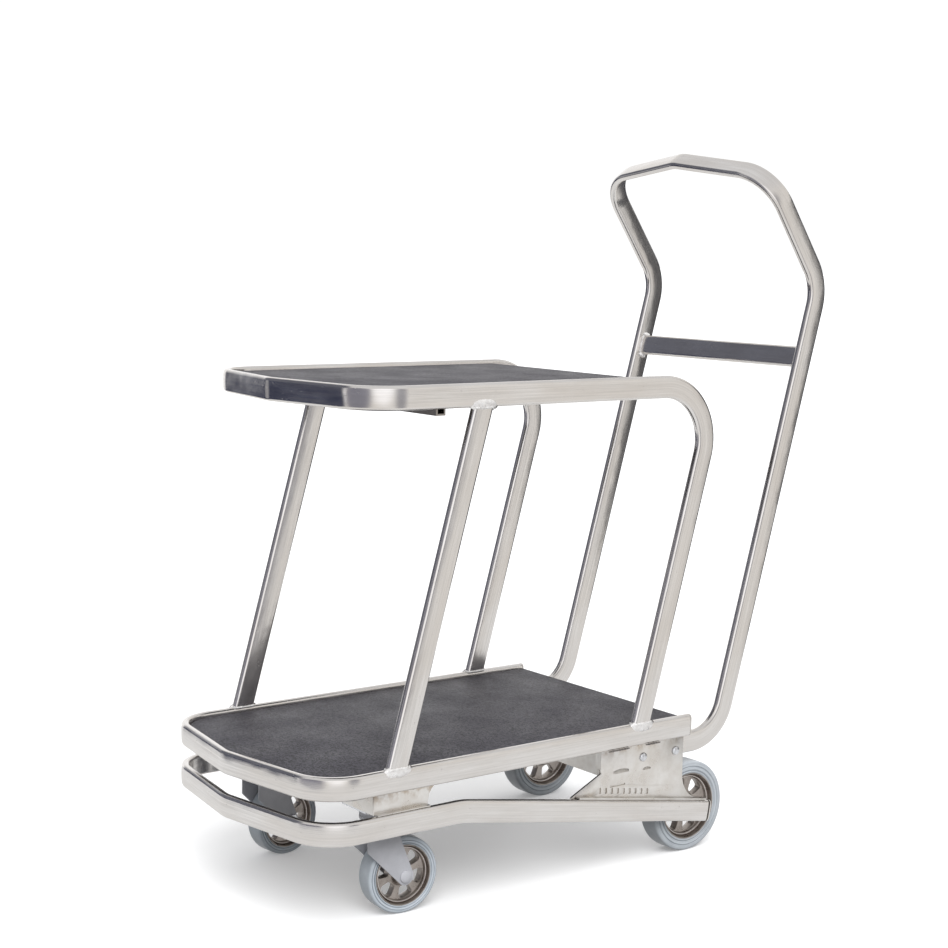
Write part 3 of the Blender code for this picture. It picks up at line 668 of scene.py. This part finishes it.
def add_frames():
    """The upper frame with its rear legs, the lower frame and the nesting rail."""
    leg_end = LEG_FOOT_Z + GAP
    corners = [leaning(REAR_LEG, leg_end, RAIL_X), leaning(REAR_LEG, UPPER_Z, RAIL_X)]
    corners += nose_corners(UPPER_NOSE_Y, UPPER_Z)
    corners += [leaning(REAR_LEG, UPPER_Z, -RAIL_X), leaning(REAR_LEG, leg_end, -RAIL_X)]
    radii = [SHOULDER_RADIUS] + nose_radii() + [SHOULDER_RADIUS]
    add_tube("upper_frame", bend_path(corners, radii), "upper_frame_tube", end_levels=(leg_end, leg_end))
    ends = [Vector((side * RAIL_X, LOWER_REAR_Y, LOWER_Z)) for side in (1, -1)]
    corners = [ends[0]] + nose_corners(LOWER_NOSE_Y, LOWER_Z) + [ends[1]]
    add_tube("lower_frame", bend_path(corners, nose_radii()), "lower_frame_tube")
    run = [(NESTING_REAR_Y, nesting_height(NESTING_REAR_Y)), (NESTING_BEND_Y, NESTING_Z)]
    left = [Vector((RAIL_X, y, z)) for y, z in run]
    right = [Vector((-RAIL_X, y, z)) for y, z in reversed(run)]
    corners = left + nose_corners(LOWER_NOSE_Y, NESTING_Z) + right
    radii = [NESTING_BEND_RADIUS] + nose_radii() + [NESTING_BEND_RADIUS]
    add_tube("nesting_frame", bend_path(corners, radii), "nesting_rail")


def add_handle():
    tip = leaning(HANDLE_LEG, HANDLE_KINK_Z, 0) + HOOP_WAY * HOOP_LENGTH
    corners = handle_corners(1) + [tip] + handle_corners(-1)[::-1]
    bends = [HANDLE_FOOT_RADIUS, HANDLE_KINK_RADIUS, HOOP_CORNER_RADIUS]
    path = bend_path(corners, bends + [NOSE_BEND_RADIUS] + bends[::-1])
    add_tube("push_handle", path, "handle_tube")
    reach = HANDLE_X - TUBE_THICK / 2 - GAP
    ends = [leaning(HANDLE_LEG, CROSSBAR_Z, side * reach) for side in (1, -1)]
    add_tube("crossbar", bend_path(ends, []), "handle_crossbar", LEG_ACROSS)


def add_front_legs():
    levels = (LEG_FOOT_Z + GAP, LEG_HEAD_Z - GAP)
    for side_name, side in SIDES:
        ends = [leaning(FRONT_LEG, level, side * RAIL_X) for level in levels]
        name = f"front_leg_{side_name}"
        add_tube(f"leg_{name}", bend_path(ends, []), name, end_levels=levels)


# ---- welds


def lump(place, size):
    """A small uneven push, the same for the same place."""
    return size * noise.noise(place * 420) + 0.5 * size * noise.noise(place * 1100)


def weld_pad(shape, centre, along, outward, half_long, half_tall, proud):
    """A lumpy patch of weld metal that fills the valley between two flush tube faces."""
    up = along.cross(outward).normalized()
    depth = 0.004
    rings = []
    steps = 48
    around = 24
    for i in range(1, steps):
        share = 2 * i / steps - 1
        taper = (1 - abs(share) ** 2.4) ** 0.5
        ripple = 0.00035 * math.sin(share * half_long / 0.0034 * math.tau)
        ring = []
        for j in range(around):
            angle = math.tau * j / around
            rise = math.sin(angle) * half_tall * (0.18 + 0.82 * taper)
            out = math.cos(angle) * (depth + proud + ripple) * taper - depth
            place = centre + along * share * half_long + up * rise + outward * min(out, proud)
            ring.append(shape.verts.new(place + outward * lump(place, 0.0005) + up * lump(place, 0.0019)))
        rings.append(ring)
    loft(shape, rings)


def weld_bead(shape, points, radius, looped=False):
    """A rippled bead along a line of points."""
    rings = []
    around = 8
    travelled = 0.0
    count = len(points)
    for i, point in enumerate(points):
        before = points[i - 1] if i or looped else point
        after = points[(i + 1) % count] if i < count - 1 or looped else point
        direction = (after - before).normalized()
        side = direction.orthogonal().normalized()
        other = direction.cross(side)
        travelled += (point - points[i - 1]).length if i else 0.0
        size = radius * (1 + 0.16 * math.sin(travelled / 0.0030 * math.tau))
        size += lump(point, radius * 0.35)
        if not looped:
            size *= min(1.0, 0.35 + 0.65 * min(i, count - 1 - i) / 3)
        ring = []
        for j in range(around):
            angle = math.tau * j / around
            ring.append(shape.verts.new(point + (side * math.cos(angle) + other * math.sin(angle)) * size))
        rings.append(ring)
    loft(shape, rings, looped)


def dense(points, spacing=0.0009, looped=True):
    """The points of a polyline, filled in at an even spacing."""
    made = []
    pairs = zip(points, points[1:] + points[:1] if looped else points[1:])
    for start, end in pairs:
        steps = max(1, round((end - start).length / spacing))
        made.extend(start.lerp(end, step / steps) for step in range(steps))
    if not looped:
        made.append(points[-1])
    return made


def leg_ring(base, level, x):
    """The outline of a leaning leg where it meets a level face, drawn a little inside it."""
    inset = 0.0005
    centre = leaning(base, level, x)
    outline = rounded_outline(TUBE_THICK - 2 * inset, TUBE_TALL - 2 * inset, TUBE_CORNER)
    return [centre + Vector((across, up / math.cos(LEAN), 0)) for across, up in outline]


def add_weld(name, shape, look="weld", slot="brushed_tube"):
    add_piece(name, mesh_of(name, shape, 80), look, "frame", slot)


def add_leg_welds():
    """A bead round each leg's foot and head, with a filled valley and, on the outside, a painted shadow: a
    dark pad whose edge shows round the weld pad.
    """
    along = Vector((0, 1, 0))
    joints = (
        ("front_foot", FRONT_LEG, LEG_FOOT_Z, -1),
        ("front_head", FRONT_LEG, LEG_HEAD_Z, 1),
        ("rear_foot", REAR_LEG, LEG_FOOT_Z, -1),
    )
    for side_name, side in SIDES:
        outward = Vector((side, 0, 0))
        for name, base, level, rail_way in joints:
            middle = leaning(base, level, side * RAIL_X)
            centre = middle + Vector((side * TUBE_THICK / 2, 0, rail_way * 0.0050))
            metal = bmesh.new()
            weld_bead(metal, dense(leg_ring(base, level, side * RAIL_X)), 0.0020, looped=True)
            weld_pad(metal, centre, along, outward, 0.0270, 0.0105, 0.0017)
            add_weld(f"weld_{name}_{side_name}", metal)
            # Painted shadow: a dark pad a little larger than the weld pad and offset, so that its edge
            # shows.
            shadow_pad = bmesh.new()
            edge = centre + Vector((0, 0.0009, rail_way * 0.0007))
            weld_pad(shadow_pad, edge, along, outward, 0.0282, 0.0115, 0.0004)
            add_weld(f"burn_{name}_{side_name}", shadow_pad, "burn_and_shadow")


def add_crossbar_welds():
    """A bead round each end of the crossbar, heavier at its upper and lower corners."""
    for side_name, side in SIDES:
        x = side * (HANDLE_X - TUBE_THICK / 2 - 0.0004)
        centre = leaning(HANDLE_LEG, CROSSBAR_Z, x)
        outline = rounded_outline(TUBE_THICK, TUBE_TALL, TUBE_CORNER)
        ring = [centre + LEG_ACROSS * across + LEG_UP * up for across, up in outline]
        shape = bmesh.new()
        weld_bead(shape, dense(ring), 0.0019, looped=True)
        for level in (1, -1):
            spot = centre + LEG_UP * level * (TUBE_TALL / 2 + 0.0015)
            ends = [spot - LEG_ACROSS * 0.008, spot + LEG_ACROSS * 0.008]
            weld_bead(shape, dense(ends, looped=False), 0.0040)
        add_weld(f"weld_crossbar_{side_name}", shape)


def add_stitch_welds():
    """Short dark beads under the lower frame, along the side plates and the channel's ends."""
    level = LOWER_Z - TUBE_TALL / 2 - 0.0006
    plate_y = low("side_plate_left").y + 0.065
    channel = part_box("channel_end_left")
    runs = [
        ("plate_front", plate_y + 0.004, plate_y + 0.052, high("side_plate_left").x),
        ("plate_middle", plate_y + 0.088, plate_y + 0.122, high("side_plate_left").x),
        ("channel_front", channel[0].y + 0.006, channel[0].y + 0.034, channel[1].x),
        ("channel_rear", channel[0].y + 0.052, channel[0].y + 0.080, channel[1].x),
    ]
    for side_name, side in SIDES:
        for name, start, end, x in runs:
            shape = bmesh.new()
            ends = [Vector((side * (x + 0.0006), y, level)) for y in (start, end)]
            weld_bead(shape, dense(ends, looped=False), 0.0014)
            add_weld(f"weld_{name}_{side_name}", shape, "burn_and_shadow", "folded_sheet")


# ---- boards and sheet metal


def add_boards():
    """Deck boards with a softened edge; their cut edges show the wood's layers."""
    inset = TUBE_THICK / 2 + GAP
    for name, nose_y in (("upper_deck_board", UPPER_NOSE_Y), ("lower_deck_board", LOWER_NOSE_Y)):
        bottom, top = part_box(name)
        side_x = RAIL_X - inset
        rear = [Vector((side_x, top.y, top.z)), Vector((-side_x, top.y, top.z))]
        corners = [rear[0]] + nose_corners(nose_y, top.z, inset) + [rear[1]]
        outline = [point.xy for point, _ in bend_path(corners, nose_radii(inset))]
        mesh = carved(name, mesh_of(name, prism(outline, 2, bottom.z, top.z)), bevel=0.0010)
        piece = add_piece(name.replace("_board", "_panel"), mesh, "deck", "frame", "deck_board", [name])
        piece.data.materials.append(LOOKS["ply"])
        for polygon in piece.data.polygons:
            if abs(polygon.normal.z) < 0.3:
                polygon.material_index = 1


def arc(centre, radius, start, end, steps):
    """Points (first, second) on an arc between two angles in degrees."""
    made = []
    for step in range(steps + 1):
        angle = math.radians(start + (end - start) * step / steps)
        made.append((centre[0] + radius[0] * math.cos(angle), centre[1] + radius[1] * math.sin(angle)))
    return made


def slot_cutter(centre, long, tall, span, tilt=0.0):
    """A round-ended slot's cutter in a plate that faces X; centre is (y, z), span is (x, x)."""
    half = (long - tall) / 2
    radii = (tall / 2, tall / 2)
    ends = arc((half, 0), radii, -90, 90, 8) + arc((-half, 0), radii, 90, 270, 8)
    turn = Matrix.Rotation(tilt, 2)
    outline = [turn @ Vector(point) + Vector(centre) for point in ends]
    return mesh_of("slot", prism(outline, 0, *span))


def plate_outline():
    """The side plate's (y, z) outline, as the CAD plate has it, with a smooth hollow rear edge."""
    bottom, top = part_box("side_plate_left")
    tail_y = top.y
    rear_y = 0.2330
    front_y = 0.0440
    toe_y = bottom.y
    hollow_low = nesting_height(tail_y) + TUBE_TALL / 2 + 0.003
    hollow_high = 0.143
    hollow = arc((tail_y, hollow_high), (tail_y - rear_y, hollow_high - hollow_low), 270, 180, 16)
    fold = arc((front_y + 0.006, 0.182 - 0.004), (0.006, 0.006), 180, 215, 4)
    toe_z = nesting_height(toe_y)
    return (
        [(tail_y, nesting_height(tail_y) - TUBE_TALL / 3)]
        + hollow
        + [(rear_y, top.z), (front_y, top.z)]
        + fold
        + [(toe_y, toe_z + TUBE_TALL / 2), (toe_y, toe_z - TUBE_TALL / 3)]
    )


def louvre_mesh(name, x, side, centre, long, tall, proud):
    """A pressed half-round hood on a plate, open along its lower edge."""
    shape = bmesh.new()
    columns = 28
    rows = 10
    grid = []
    for i in range(columns + 1):
        share = 2 * i / columns - 1
        line = []
        for j in range(rows + 1):
            fall = j / rows
            height = (1 - share ** 4) ** 0.5 * math.sin(math.radians(90) * (1 - fall) ** 0.8)
            y = centre[0] + share * long / 2
            z = centre[1] + fall * tall * (1 - 0.45 * share * share)
            line.append(shape.verts.new((x + side * proud * height, y, z)))
        grid.append(line)
    for first, second in zip(grid, grid[1:]):
        for j in range(rows):
            shape.faces.new((first[j], second[j], second[j + 1], first[j + 1]))
    bmesh.ops.solidify(shape, geom=shape.faces[:], thickness=0.0012)
    return mesh_of(name, shape, 50)


def add_sheet(name, outline, span, bevel, look="sheet", segments=3, cutters=(), nodes=()):
    """A piece of sheet steel: a (y, z) outline between two places on X, with softened edges."""
    blank = mesh_of(name, prism(outline, 0, *sorted(span)))
    mesh = carved(name, blank, cutters, bevel, segments=segments)
    add_piece(name, mesh, look, "frame", "folded_sheet", nodes)


def add_side_plates():
    """Plates with a front fold, a foot flange, a row of blind grooves, a louvre and a dimple."""
    cad_low, cad_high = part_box("side_plate_left")
    thick = 0.0038
    groove_depth = 0.0030
    groove_count = 9
    rise = TUBE_TALL / 2 * math.hypot(1, NESTING_SLOPE) + GAP
    flange_ys = (cad_low.y + 0.008, cad_high.y - 0.0002)
    flange = [(y, nesting_height(y) + rise) for y in flange_ys]
    flange += [(y, z + 0.003) for y, z in reversed(flange)]
    fold = [(0.0442, 0.1810), (0.0478, 0.1810), (0.0478, cad_high.z), (0.0442, cad_high.z)]
    strips = (
        ("flange", flange, PLATE_X - 0.001, RAIL_X + 0.005, 0.0008),
        ("fold", fold, PLATE_X - 0.015, PLATE_X - 0.0004, 0.0012),
    )
    hoods = (
        ("louvre", (0.0890, 0.1695), 0.036, 0.0065, 0.0028),
        ("dimple", (0.1480, 0.1660), 0.018, 0.0045, 0.0016),
    )
    for side_name, side in SIDES:
        pressed = sorted((side * (PLATE_X - groove_depth), side * (PLATE_X + 0.004)))
        cutters = [slot_cutter((0.0825, 0.1485), 0.034, 0.0030, pressed)]
        for number in range(groove_count):
            y = 0.043 + 0.0135 * number
            z = nesting_height(y) + rise + 0.0125
            cutters.append(slot_cutter((y, z), 0.0100, 0.0042, pressed, math.radians(90)))
        span = (side * (PLATE_X - thick), side * PLATE_X)
        nodes = [f"side_plate_{side_name}"]
        add_sheet(f"plate_{side_name}", plate_outline(), span, 0.0005, "plate", 2, cutters, nodes)
        for part, outline, start, end, bevel in strips:
            add_sheet(f"plate_{part}_{side_name}", outline, (side * start, side * end), bevel)
        for part, *form in hoods:
            name = f"plate_{part}_{side_name}"
            hood = louvre_mesh(name, side * PLATE_X, side, *form)
            add_piece(name, hood, "sheet", "frame", "folded_sheet")


def add_channel_ends():
    """The caster channel's end plates, with a hollow rear edge and a foot flange."""
    hollow = 0.018
    for side_name, side in SIDES:
        node = f"channel_end_{side_name}"
        bottom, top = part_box(node)
        rear = arc((top.y, bottom.z + 0.003), (hollow, top.z - bottom.z - 0.003), 90, 180, 16)
        outline = [(bottom.y, top.z)] + rear + [(top.y - hollow, bottom.z), (bottom.y, bottom.z)]
        add_sheet(f"shaped_{node}", outline, (bottom.x, top.x), 0.0006, "plate_end", nodes=[node])
        foot = [(bottom.y + 0.002, bottom.z), (top.y - hollow, bottom.z)]
        foot += [(y, z + 0.0022) for y, z in reversed(foot)]
        span = (side * (RAIL_X - TUBE_THICK / 2 + 0.001), side * (RAIL_X + 0.0035))
        add_sheet(f"channel_foot_{side_name}", foot, span, 0.0006, segments=2)


# ---- wheels


def tyre_profile(radius, rim, half):
    """The (along, radius) section of a solid tyre: bead, two ringed grooves, shoulder and tread."""
    inner = rim + GAP
    wall = radius - inner
    steps = (
        (0.0008, 0.0), (0.0, 0.07), (0.0, 0.14), (0.0012, 0.18), (0.0012, 0.23), (0.0002, 0.27),
        (0.0, 0.32), (0.0, 0.48), (0.0010, 0.52), (0.0010, 0.56), (0.0002, 0.60), (0.0004, 0.66),
    )
    right = [(half - depth, inner + share * wall) for depth, share in steps]
    right += arc((half - 0.0042, radius - 0.0040), (0.0038, 0.0038), 5, 85, 8)
    right += [(half * 0.55, radius - 0.0001), (0, radius)]
    return right + mirrored(right[:-1])


def rim_profile(rim, hub, bore, half):
    """The (along, radius) section of a cast rim: hub, web, ridge, deep groove, cone and flange."""
    web = 0.0070
    scale = rim_scale(rim)
    right = [
        (half + 0.0010, bore + GAP),
        (half + 0.0010, hub - 0.0030),
        (half + 0.0002, hub - 0.0014),
        (half - 0.0030, hub),
        (web + 0.0020, hub + 0.0012),
        (web, hub + 0.0034),
        (web, rim - 0.0076 * scale),
        (web + 0.0015, rim - 0.0069 * scale),
        (web + 0.0052, rim - 0.0061 * scale),
        (web + 0.0062, rim - 0.0055 * scale),
        (web + 0.0060, rim - 0.0048 * scale),
        (web + 0.0044, rim - 0.0042 * scale),
        (web + 0.0050, rim - 0.0034 * scale),
        (half - 0.0012, rim - 0.0016),
        (half - 0.0004, rim - 0.0014),
        (half, rim - 0.0010),
        (half, rim),
    ]
    return right + mirrored(right)


def window_outline(inner, outer, half_angle, turn):
    """A window between two spokes as (y, z) pairs: an arched trapezium with round corners."""
    middle = (inner + outer) / 2
    reach = (outer - inner) / 2
    outline = []
    for step in range(32):
        angle = math.tau * step / 32
        cosine = math.cos(angle)
        sine = math.sin(angle)
        across = math.copysign(abs(cosine) ** 0.45, cosine) * half_angle
        level = middle + math.copysign(abs(sine) ** 0.45, sine) * reach
        outline.append((level * math.sin(turn + across), -level * math.cos(turn + across)))
    return outline


def yaw_of(joint, side=1):
    """The way that a wheel joint's axle points, turned to face outwards on the right side."""
    return math.atan2(joint["axis"][1], joint["axis"][0]) + (0 if side > 0 else math.pi)


def add_wheel(kind, side_name, side):
    """Tyre, six-spoke rim and bush, centred on the wheel's joint and facing outwards."""
    radius, rim, half, hub, rest_turn = WHEELS[kind]
    name = f"{kind}_{side_name}"
    body = f"{kind}_wheel_{side_name}"
    joint = JOINTS[f"{body}_spin"]
    spot = {"place": Vector(joint["pos_m"]), "turn": yaw_of(joint, side)}
    bore = 0.0085
    bush_bore = 0.0063
    tyre = mesh_of(f"{name}_tyre", turned(tyre_profile(radius, rim, half), 128))
    add_piece(f"{name}_tread", tyre, f"{kind}_tyre", body, "grey_rubber", [f"{name}_tyre"], **spot)
    inner = hub + 0.0052
    outer = rim - 0.0079 * rim_scale(rim)
    windows = []
    for spoke in range(6):
        turn = math.radians(rest_turn * side) + math.radians(60) * spoke
        outline = window_outline(inner, outer, math.radians(19.5), turn)
        windows.append(mesh_of("window", prism(outline, 0, -0.03, 0.03)))
    disc = mesh_of("rim", turned(rim_profile(rim, hub, bore, half)))
    mesh = carved(f"{name}_casting", disc, windows, bevel=0.0006)
    add_piece(f"{name}_casting", mesh, f"{kind}_rim", body, "cast_rim", [f"{name}_rim"], **spot)
    end = half + 0.003
    bush = [(-end, bush_bore), (end, bush_bore), (end, bore - 0.0007), (end - 0.0007, bore)]
    bush += [(0.0007 - end, bore), (-end, bore - 0.0007)]
    mesh = mesh_of(f"{name}_sleeve", turned(bush, 48))
    add_piece(f"{name}_sleeve", mesh, "plastic", body, "bush_plastic", [f"{name}_bush"], **spot)


def add_wheels():
    for side_name, side in SIDES:
        for kind in WHEELS:
            add_wheel(kind, side_name, side)


# ---- casters


def fork_mesh(name):
    """A folded fork about the kingpin: round-shouldered, bored crown and two tapering cheeks."""
    half = 0.025
    sheet = 0.003
    top = 0.152
    bend = 0.007
    bend_centre = (half - bend, top - bend)
    shoulder = arc(bend_centre, (bend, bend), 0, 90, 6)
    inner = arc(bend_centre, (bend - sheet, bend - sheet), 90, 0, 6)
    right = [(half, 0.030)] + shoulder
    inner_right = inner + [(half - sheet, 0.030)]
    section = right + mirrored(right) + mirrored(inner_right) + inner_right
    folded = mesh_of("fold", prism(section, 1, -0.060, 0.080))
    foot_y, foot_z = 0.041, 0.0625
    foot = arc((foot_y, foot_z), (0.0145, 0.0145), 25, -145, 20)
    cheek = [(-0.0275, 0.1105), (-0.0275, 0.160), (0.031, 0.160), (0.031, 0.127)] + foot
    side_cut = mesh_of("cheek", prism(cheek, 0, -0.05, 0.05))
    cheeks = carved("cheeks", folded, [side_cut], operation="INTERSECT")
    bore = mesh_of("bore", turned([(top - 0.012, PIN_HOLE), (top + 0.008, PIN_HOLE)], 32, 2, closed=False))
    return carved(name, cheeks, [bore], bevel=0.0006, segments=3)


def head_profile(lo, hi):
    """The swivel bearing's (height, radius) section, with a groove between its two races."""
    return [
        (lo, PIN_HOLE), (lo, 0.0205), (lo + 0.0012, 0.0228), (lo + 0.0065, 0.0268),
        (lo + 0.0080, 0.0270), (lo + 0.0110, 0.0270), (lo + 0.0118, 0.0258),
        (lo + 0.0132, 0.0258), (lo + 0.0140, 0.0270), (hi - 0.0050, 0.0270),
        (hi - 0.0016, 0.0252), (hi, 0.0228), (hi, PIN_HOLE),
    ]


def axle_profile(half):
    """The axle bolt's (along, radius) section: a shank and, from half outwards, a domed cap."""
    return [
        (-half - 0.0079, 0.0052), (-half - 0.0071, 0.0060), (half, 0.0060), (half, 0.0103),
        (half + 0.0008, 0.0105), (half + 0.0020, 0.0100), (half + 0.0031, 0.0078),
        (half + 0.0037, 0.0045), (half + 0.0039, 0.0012),
    ]


def add_casters():
    for side_name, side in SIDES:
        body = f"caster_{side_name}"
        swivel = Vector(JOINTS[f"{body}_swivel"]["pos_m"])
        axle = JOINTS[f"front_wheel_{side_name}_spin"]
        base = Vector((swivel.x, swivel.y, 0))
        bottom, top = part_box(f"swivel_head_{side_name}")
        bearing = mesh_of("head", turned(head_profile(bottom.z, top.z), 72, axis=2), 25)
        bolt = mesh_of("axle", turned(axle_profile(0.0253), 48, closed=False), 40)
        for name, mesh, node, place, turn in (
            ("fork_body", fork_mesh("fork"), "fork", base, yaw_of(axle)),
            ("swivel_bearing", bearing, "swivel_head", base, 0.0),
            ("axle_bolt", bolt, "fork_axle", Vector(axle["pos_m"]), yaw_of(axle, side)),
        ):
            nodes = [f"{node}_{side_name}"]
            add_piece(f"{name}_{side_name}", mesh, "paint", body, "grey_paint", nodes, place, turn)


def add_plate_bolts():
    """Low round heads on the side plates."""
    head = [(-0.0110, 0.0036), (-0.0106, 0.0040), (GAP, 0.0040), (GAP, 0.0079), (0.0008, 0.0080)]
    head += arc((0.0008, 0), (0.0036, 0.0078), 80, 8, 10)
    for side_name, side in SIDES:
        turn = 0 if side > 0 else math.pi
        for end in ("front", "rear"):
            node = f"plate_bolt_{end}_{side_name}"
            middle = (low(node) + high(node)) / 2
            place = Vector((side * PLATE_X, middle.y, middle.z))
            mesh = mesh_of(node, turned(head, 40, closed=False), 40)
            add_piece(f"round_{node}", mesh, "zinc", "frame", "zinc", [node], place, turn)


# ---- carried-over CAD nodes


# Look and bevel of each CAD node that stays in view.
KEPT = {
    "upper_bearer_front": ("bearer", 0.0003),
    "upper_bearer_rear": ("bearer", 0.0003),
    "front_caster_channel": ("sheet", 0.0008),
    "rear_cross_member": ("sheet", 0.0008),
    "lower_rail_cap": ("sheet", 0.0003),
    "nesting_rail_cap": ("sheet", 0.0003),
    "rear_axle": ("zinc", 0.0004),
    "rear_axle_nut": ("zinc", 0.0007),
    "caster_plate": ("zinc", 0.0008),
    "kingpin": ("zinc", 0.0005),
    "fork_axle_nut": ("zinc", 0.0007),
}


def dress_kept_nodes():
    """Gives each CAD node that stays in view its material and a small bevel."""
    for name, node in frame["nodes"].items():
        if node.hide_render:
            continue
        key = name.removesuffix("_left").removesuffix("_right")
        look, bevel = KEPT[key]
        node.data.materials.clear()
        node.data.materials.append(LOOKS[look])
        add_bevel(node, bevel, 2, 40)


# ---- studio


def stage_object(name, mesh, material, *unseen_by):
    """A thing of the studio, which the named kinds of ray pass through."""
    mesh.materials.append(material)
    made = new_object(name, mesh)
    for kind in unseen_by:
        setattr(made, f"visible_{kind}", False)


def disc_mesh(name, radius, z, segments=96):
    shape = bmesh.new()
    angles = (math.tau * i / segments for i in range(segments))
    shape.faces.new([shape.verts.new((radius * math.cos(a), radius * math.sin(a), z)) for a in angles])
    mesh = bpy.data.meshes.new(name)
    shape.to_mesh(mesh)
    shape.free()
    return mesh


def floor_look(name, white, glow):
    glowing = {"Emission_Color": (1, 1, 1, 1), "Emission_Strength": glow}
    look = Look(name, (white, white, white), 0.95, Specular_IOR_Level=0.0, **glowing)
    pale = (white * 0.99, white * 0.99, white * 0.995)
    return look.painted(look.mix(look.span(look.grain(3, 2.0), 0.3, 0.7), pale, (white, white, white)))


def add_floor():
    """The floor the camera sees, the near patch that metal reflects, and one for bounced light."""
    wide = 90.0
    seen = floor_look("studio_floor", 0.87, 0.22)
    stage_object("floor", disc_mesh("floor", wide, 0.0), seen, "glossy", "diffuse", "shadow")
    mirrored = floor_look("studio_floor_near", 0.33, 0.47)
    near = disc_mesh("floor_near", 1.65, -0.001)
    stage_object("floor_near", near, mirrored, "camera", "diffuse", "shadow")
    bounced = floor_look("studio_floor_bounce", 0.26, 0.0)
    stage_object("floor_bounce", disc_mesh("floor_bounce", wide, -0.002), bounced, "camera", "glossy")


# Patches of the studio that polished metal reflects: azimuth from +X and elevation of the
# centre, half-width and softness in degrees, squash (over 1 is low and wide), and colour.
STUDIO_PATCHES = (
    ((0, 90), 52, 14, 1.0, (0.80, 0.80, 0.81)),
    ((-83, 2), 30, 10, 1.0, (0.27, 0.27, 0.32)),
    ((-118, 0), 5, 3, 0.35, (1.05, 1.05, 1.07)),
    ((-147, 20), 33, 5, 1.3, (0.150, 0.156, 0.190)),
    ((-151, -8), 33, 4, 2.0, (0.036, 0.042, 0.080)),
    ((-149, -5), 8, 3, 0.7, (0.42, 0.42, 0.44)),
    ((95, -2), 40, 6, 2.2, (0.075, 0.075, 0.085)),
    ((162, 4), 27, 6, 1.2, (1.15, 1.15, 1.16)),
    ((-26, 12), 22, 10, 1.0, (1.30, 1.30, 1.33)),
    ((15, 0), 11, 7, 0.45, (0.36, 0.36, 0.39)),
)


def toward(azimuth, elevation):
    turn = math.radians(azimuth)
    rise = math.radians(elevation)
    return Vector((math.cos(turn) * math.cos(rise), math.sin(turn) * math.cos(rise), math.sin(rise)))


def add_flag():
    """A dark card that only reflections see: it stands beyond the handle, on the left."""
    corners = ((1.0, 1.56, 0.15), (1.0, 2.6, 0.15), (1.0, 2.6, 1.6), (1.0, 1.40, 1.6))
    mesh = bpy.data.meshes.new("flag")
    mesh.from_pydata(corners, [], [(0, 1, 2, 3)])
    glowing = {"Emission_Color": (0.95, 0.95, 1.0, 1), "Emission_Strength": 0.10}
    look = Look("black_card", (0.02, 0.02, 0.02), 0.9, Specular_IOR_Level=0.0, **glowing)
    card = look.painted(look.mix(look.grain(40), (0.015, 0.015, 0.016), (0.03, 0.03, 0.032)))
    stage_object("flag", mesh, card, "camera", "diffuse", "shadow")


def add_world():
    """Even white light, with softboxes and dark corners that only reflections see."""
    world = bpy.data.worlds.new("studio")
    bpy.context.scene.world = world
    world.use_nodes = True
    world.cycles.sampling_method = "NONE"
    shading = Shading(world.node_tree)
    direction = shading.node("ShaderNodeTexCoord").outputs["Generated"]
    colour = (0.89, 0.87, 0.845)
    for centre, width, softness, squash, tone in STUDIO_PATCHES:
        shape = Vector((1, 1, squash))
        way = shading.vectors("NORMALIZE", shading.vectors("MULTIPLY", direction, shape))
        nearness = shading.vectors("DOT_PRODUCT", way, (toward(*centre) * shape).normalized())
        edge = math.cos(math.radians(width + softness))
        full = math.cos(math.radians(max(0, width - softness)))
        share = shading.span(nearness, edge, full, interpolation_type="SMOOTHSTEP")
        colour = shading.mix(share, colour, tone)
    height = shading.node("ShaderNodeSeparateXYZ", {0: direction}).outputs[2]
    glow = shading.span(height, 0.0, 0.8, 0.22, 1.0, interpolation_type="SMOOTHSTEP")
    reflected, lighting, backdrop = (
        shading.node("ShaderNodeBackground", inputs).outputs[0]
        for inputs in (
            {"Color": colour},
            {"Color": (0.985, 0.99, 1.0, 1), "Strength": glow},
            {"Color": (1.05, 1.05, 1.05, 1)},
        )
    )
    ray = shading.node("ShaderNodeLightPath").outputs
    inputs = {0: ray["Is Glossy Ray"], 1: lighting, 2: reflected}
    unseen = shading.node("ShaderNodeMixShader", inputs).outputs[0]
    inputs = {0: ray["Is Camera Ray"], 1: unseen, 2: backdrop}
    surface = shading.node("ShaderNodeMixShader", inputs).outputs[0]
    shading.feed(shading.tree.nodes["World Output"].inputs["Surface"], surface)


def add_light():
    """One wide, soft light from above the camera's side."""
    light = bpy.data.lights.new("key", "SUN")
    light.energy = 2.35
    light.angle = math.radians(42)
    lamp = new_object("key", light)
    lamp.rotation_euler = toward(-32, 46).to_track_quat("Z", "Y").to_euler()
    lamp.visible_glossy = False


CAMERA_TARGET = Vector((0, -0.0644, 0.66507))
CAMERA_DISTANCE = 3.2075
CAMERA_AZIMUTH = 52.7436
CAMERA_PITCH = 7.0118
CAMERA_ROLL = math.radians(1.0446)


def add_camera():
    """A long lens off the nose's left corner, a little above the upper deck."""
    forward = toward(90 + CAMERA_AZIMUTH, -CAMERA_PITCH)
    right = toward(CAMERA_AZIMUTH, 0)
    up = right.cross(forward)
    turn = Matrix((right, up, -forward)).transposed() @ Matrix.Rotation(CAMERA_ROLL, 3, "Z")
    place = CAMERA_TARGET - forward * CAMERA_DISTANCE
    data = bpy.data.cameras.new("camera")
    data.lens = 71.13
    data.sensor_width = 36
    data.clip_end = 200
    camera = new_object("camera", data)
    camera.matrix_world = Matrix.Translation(place) @ turn.to_4x4()
    bpy.context.scene.camera = camera
    bpy.context.scene.view_settings.view_transform = "Standard"


add_frames()
add_handle()
add_front_legs()
add_leg_welds()
add_crossbar_welds()
add_stitch_welds()
add_boards()
add_side_plates()
add_channel_ends()
add_wheels()
add_casters()
add_plate_bolts()
dress_kept_nodes()
add_floor()
add_flag()
add_world()
add_light()
add_camera()
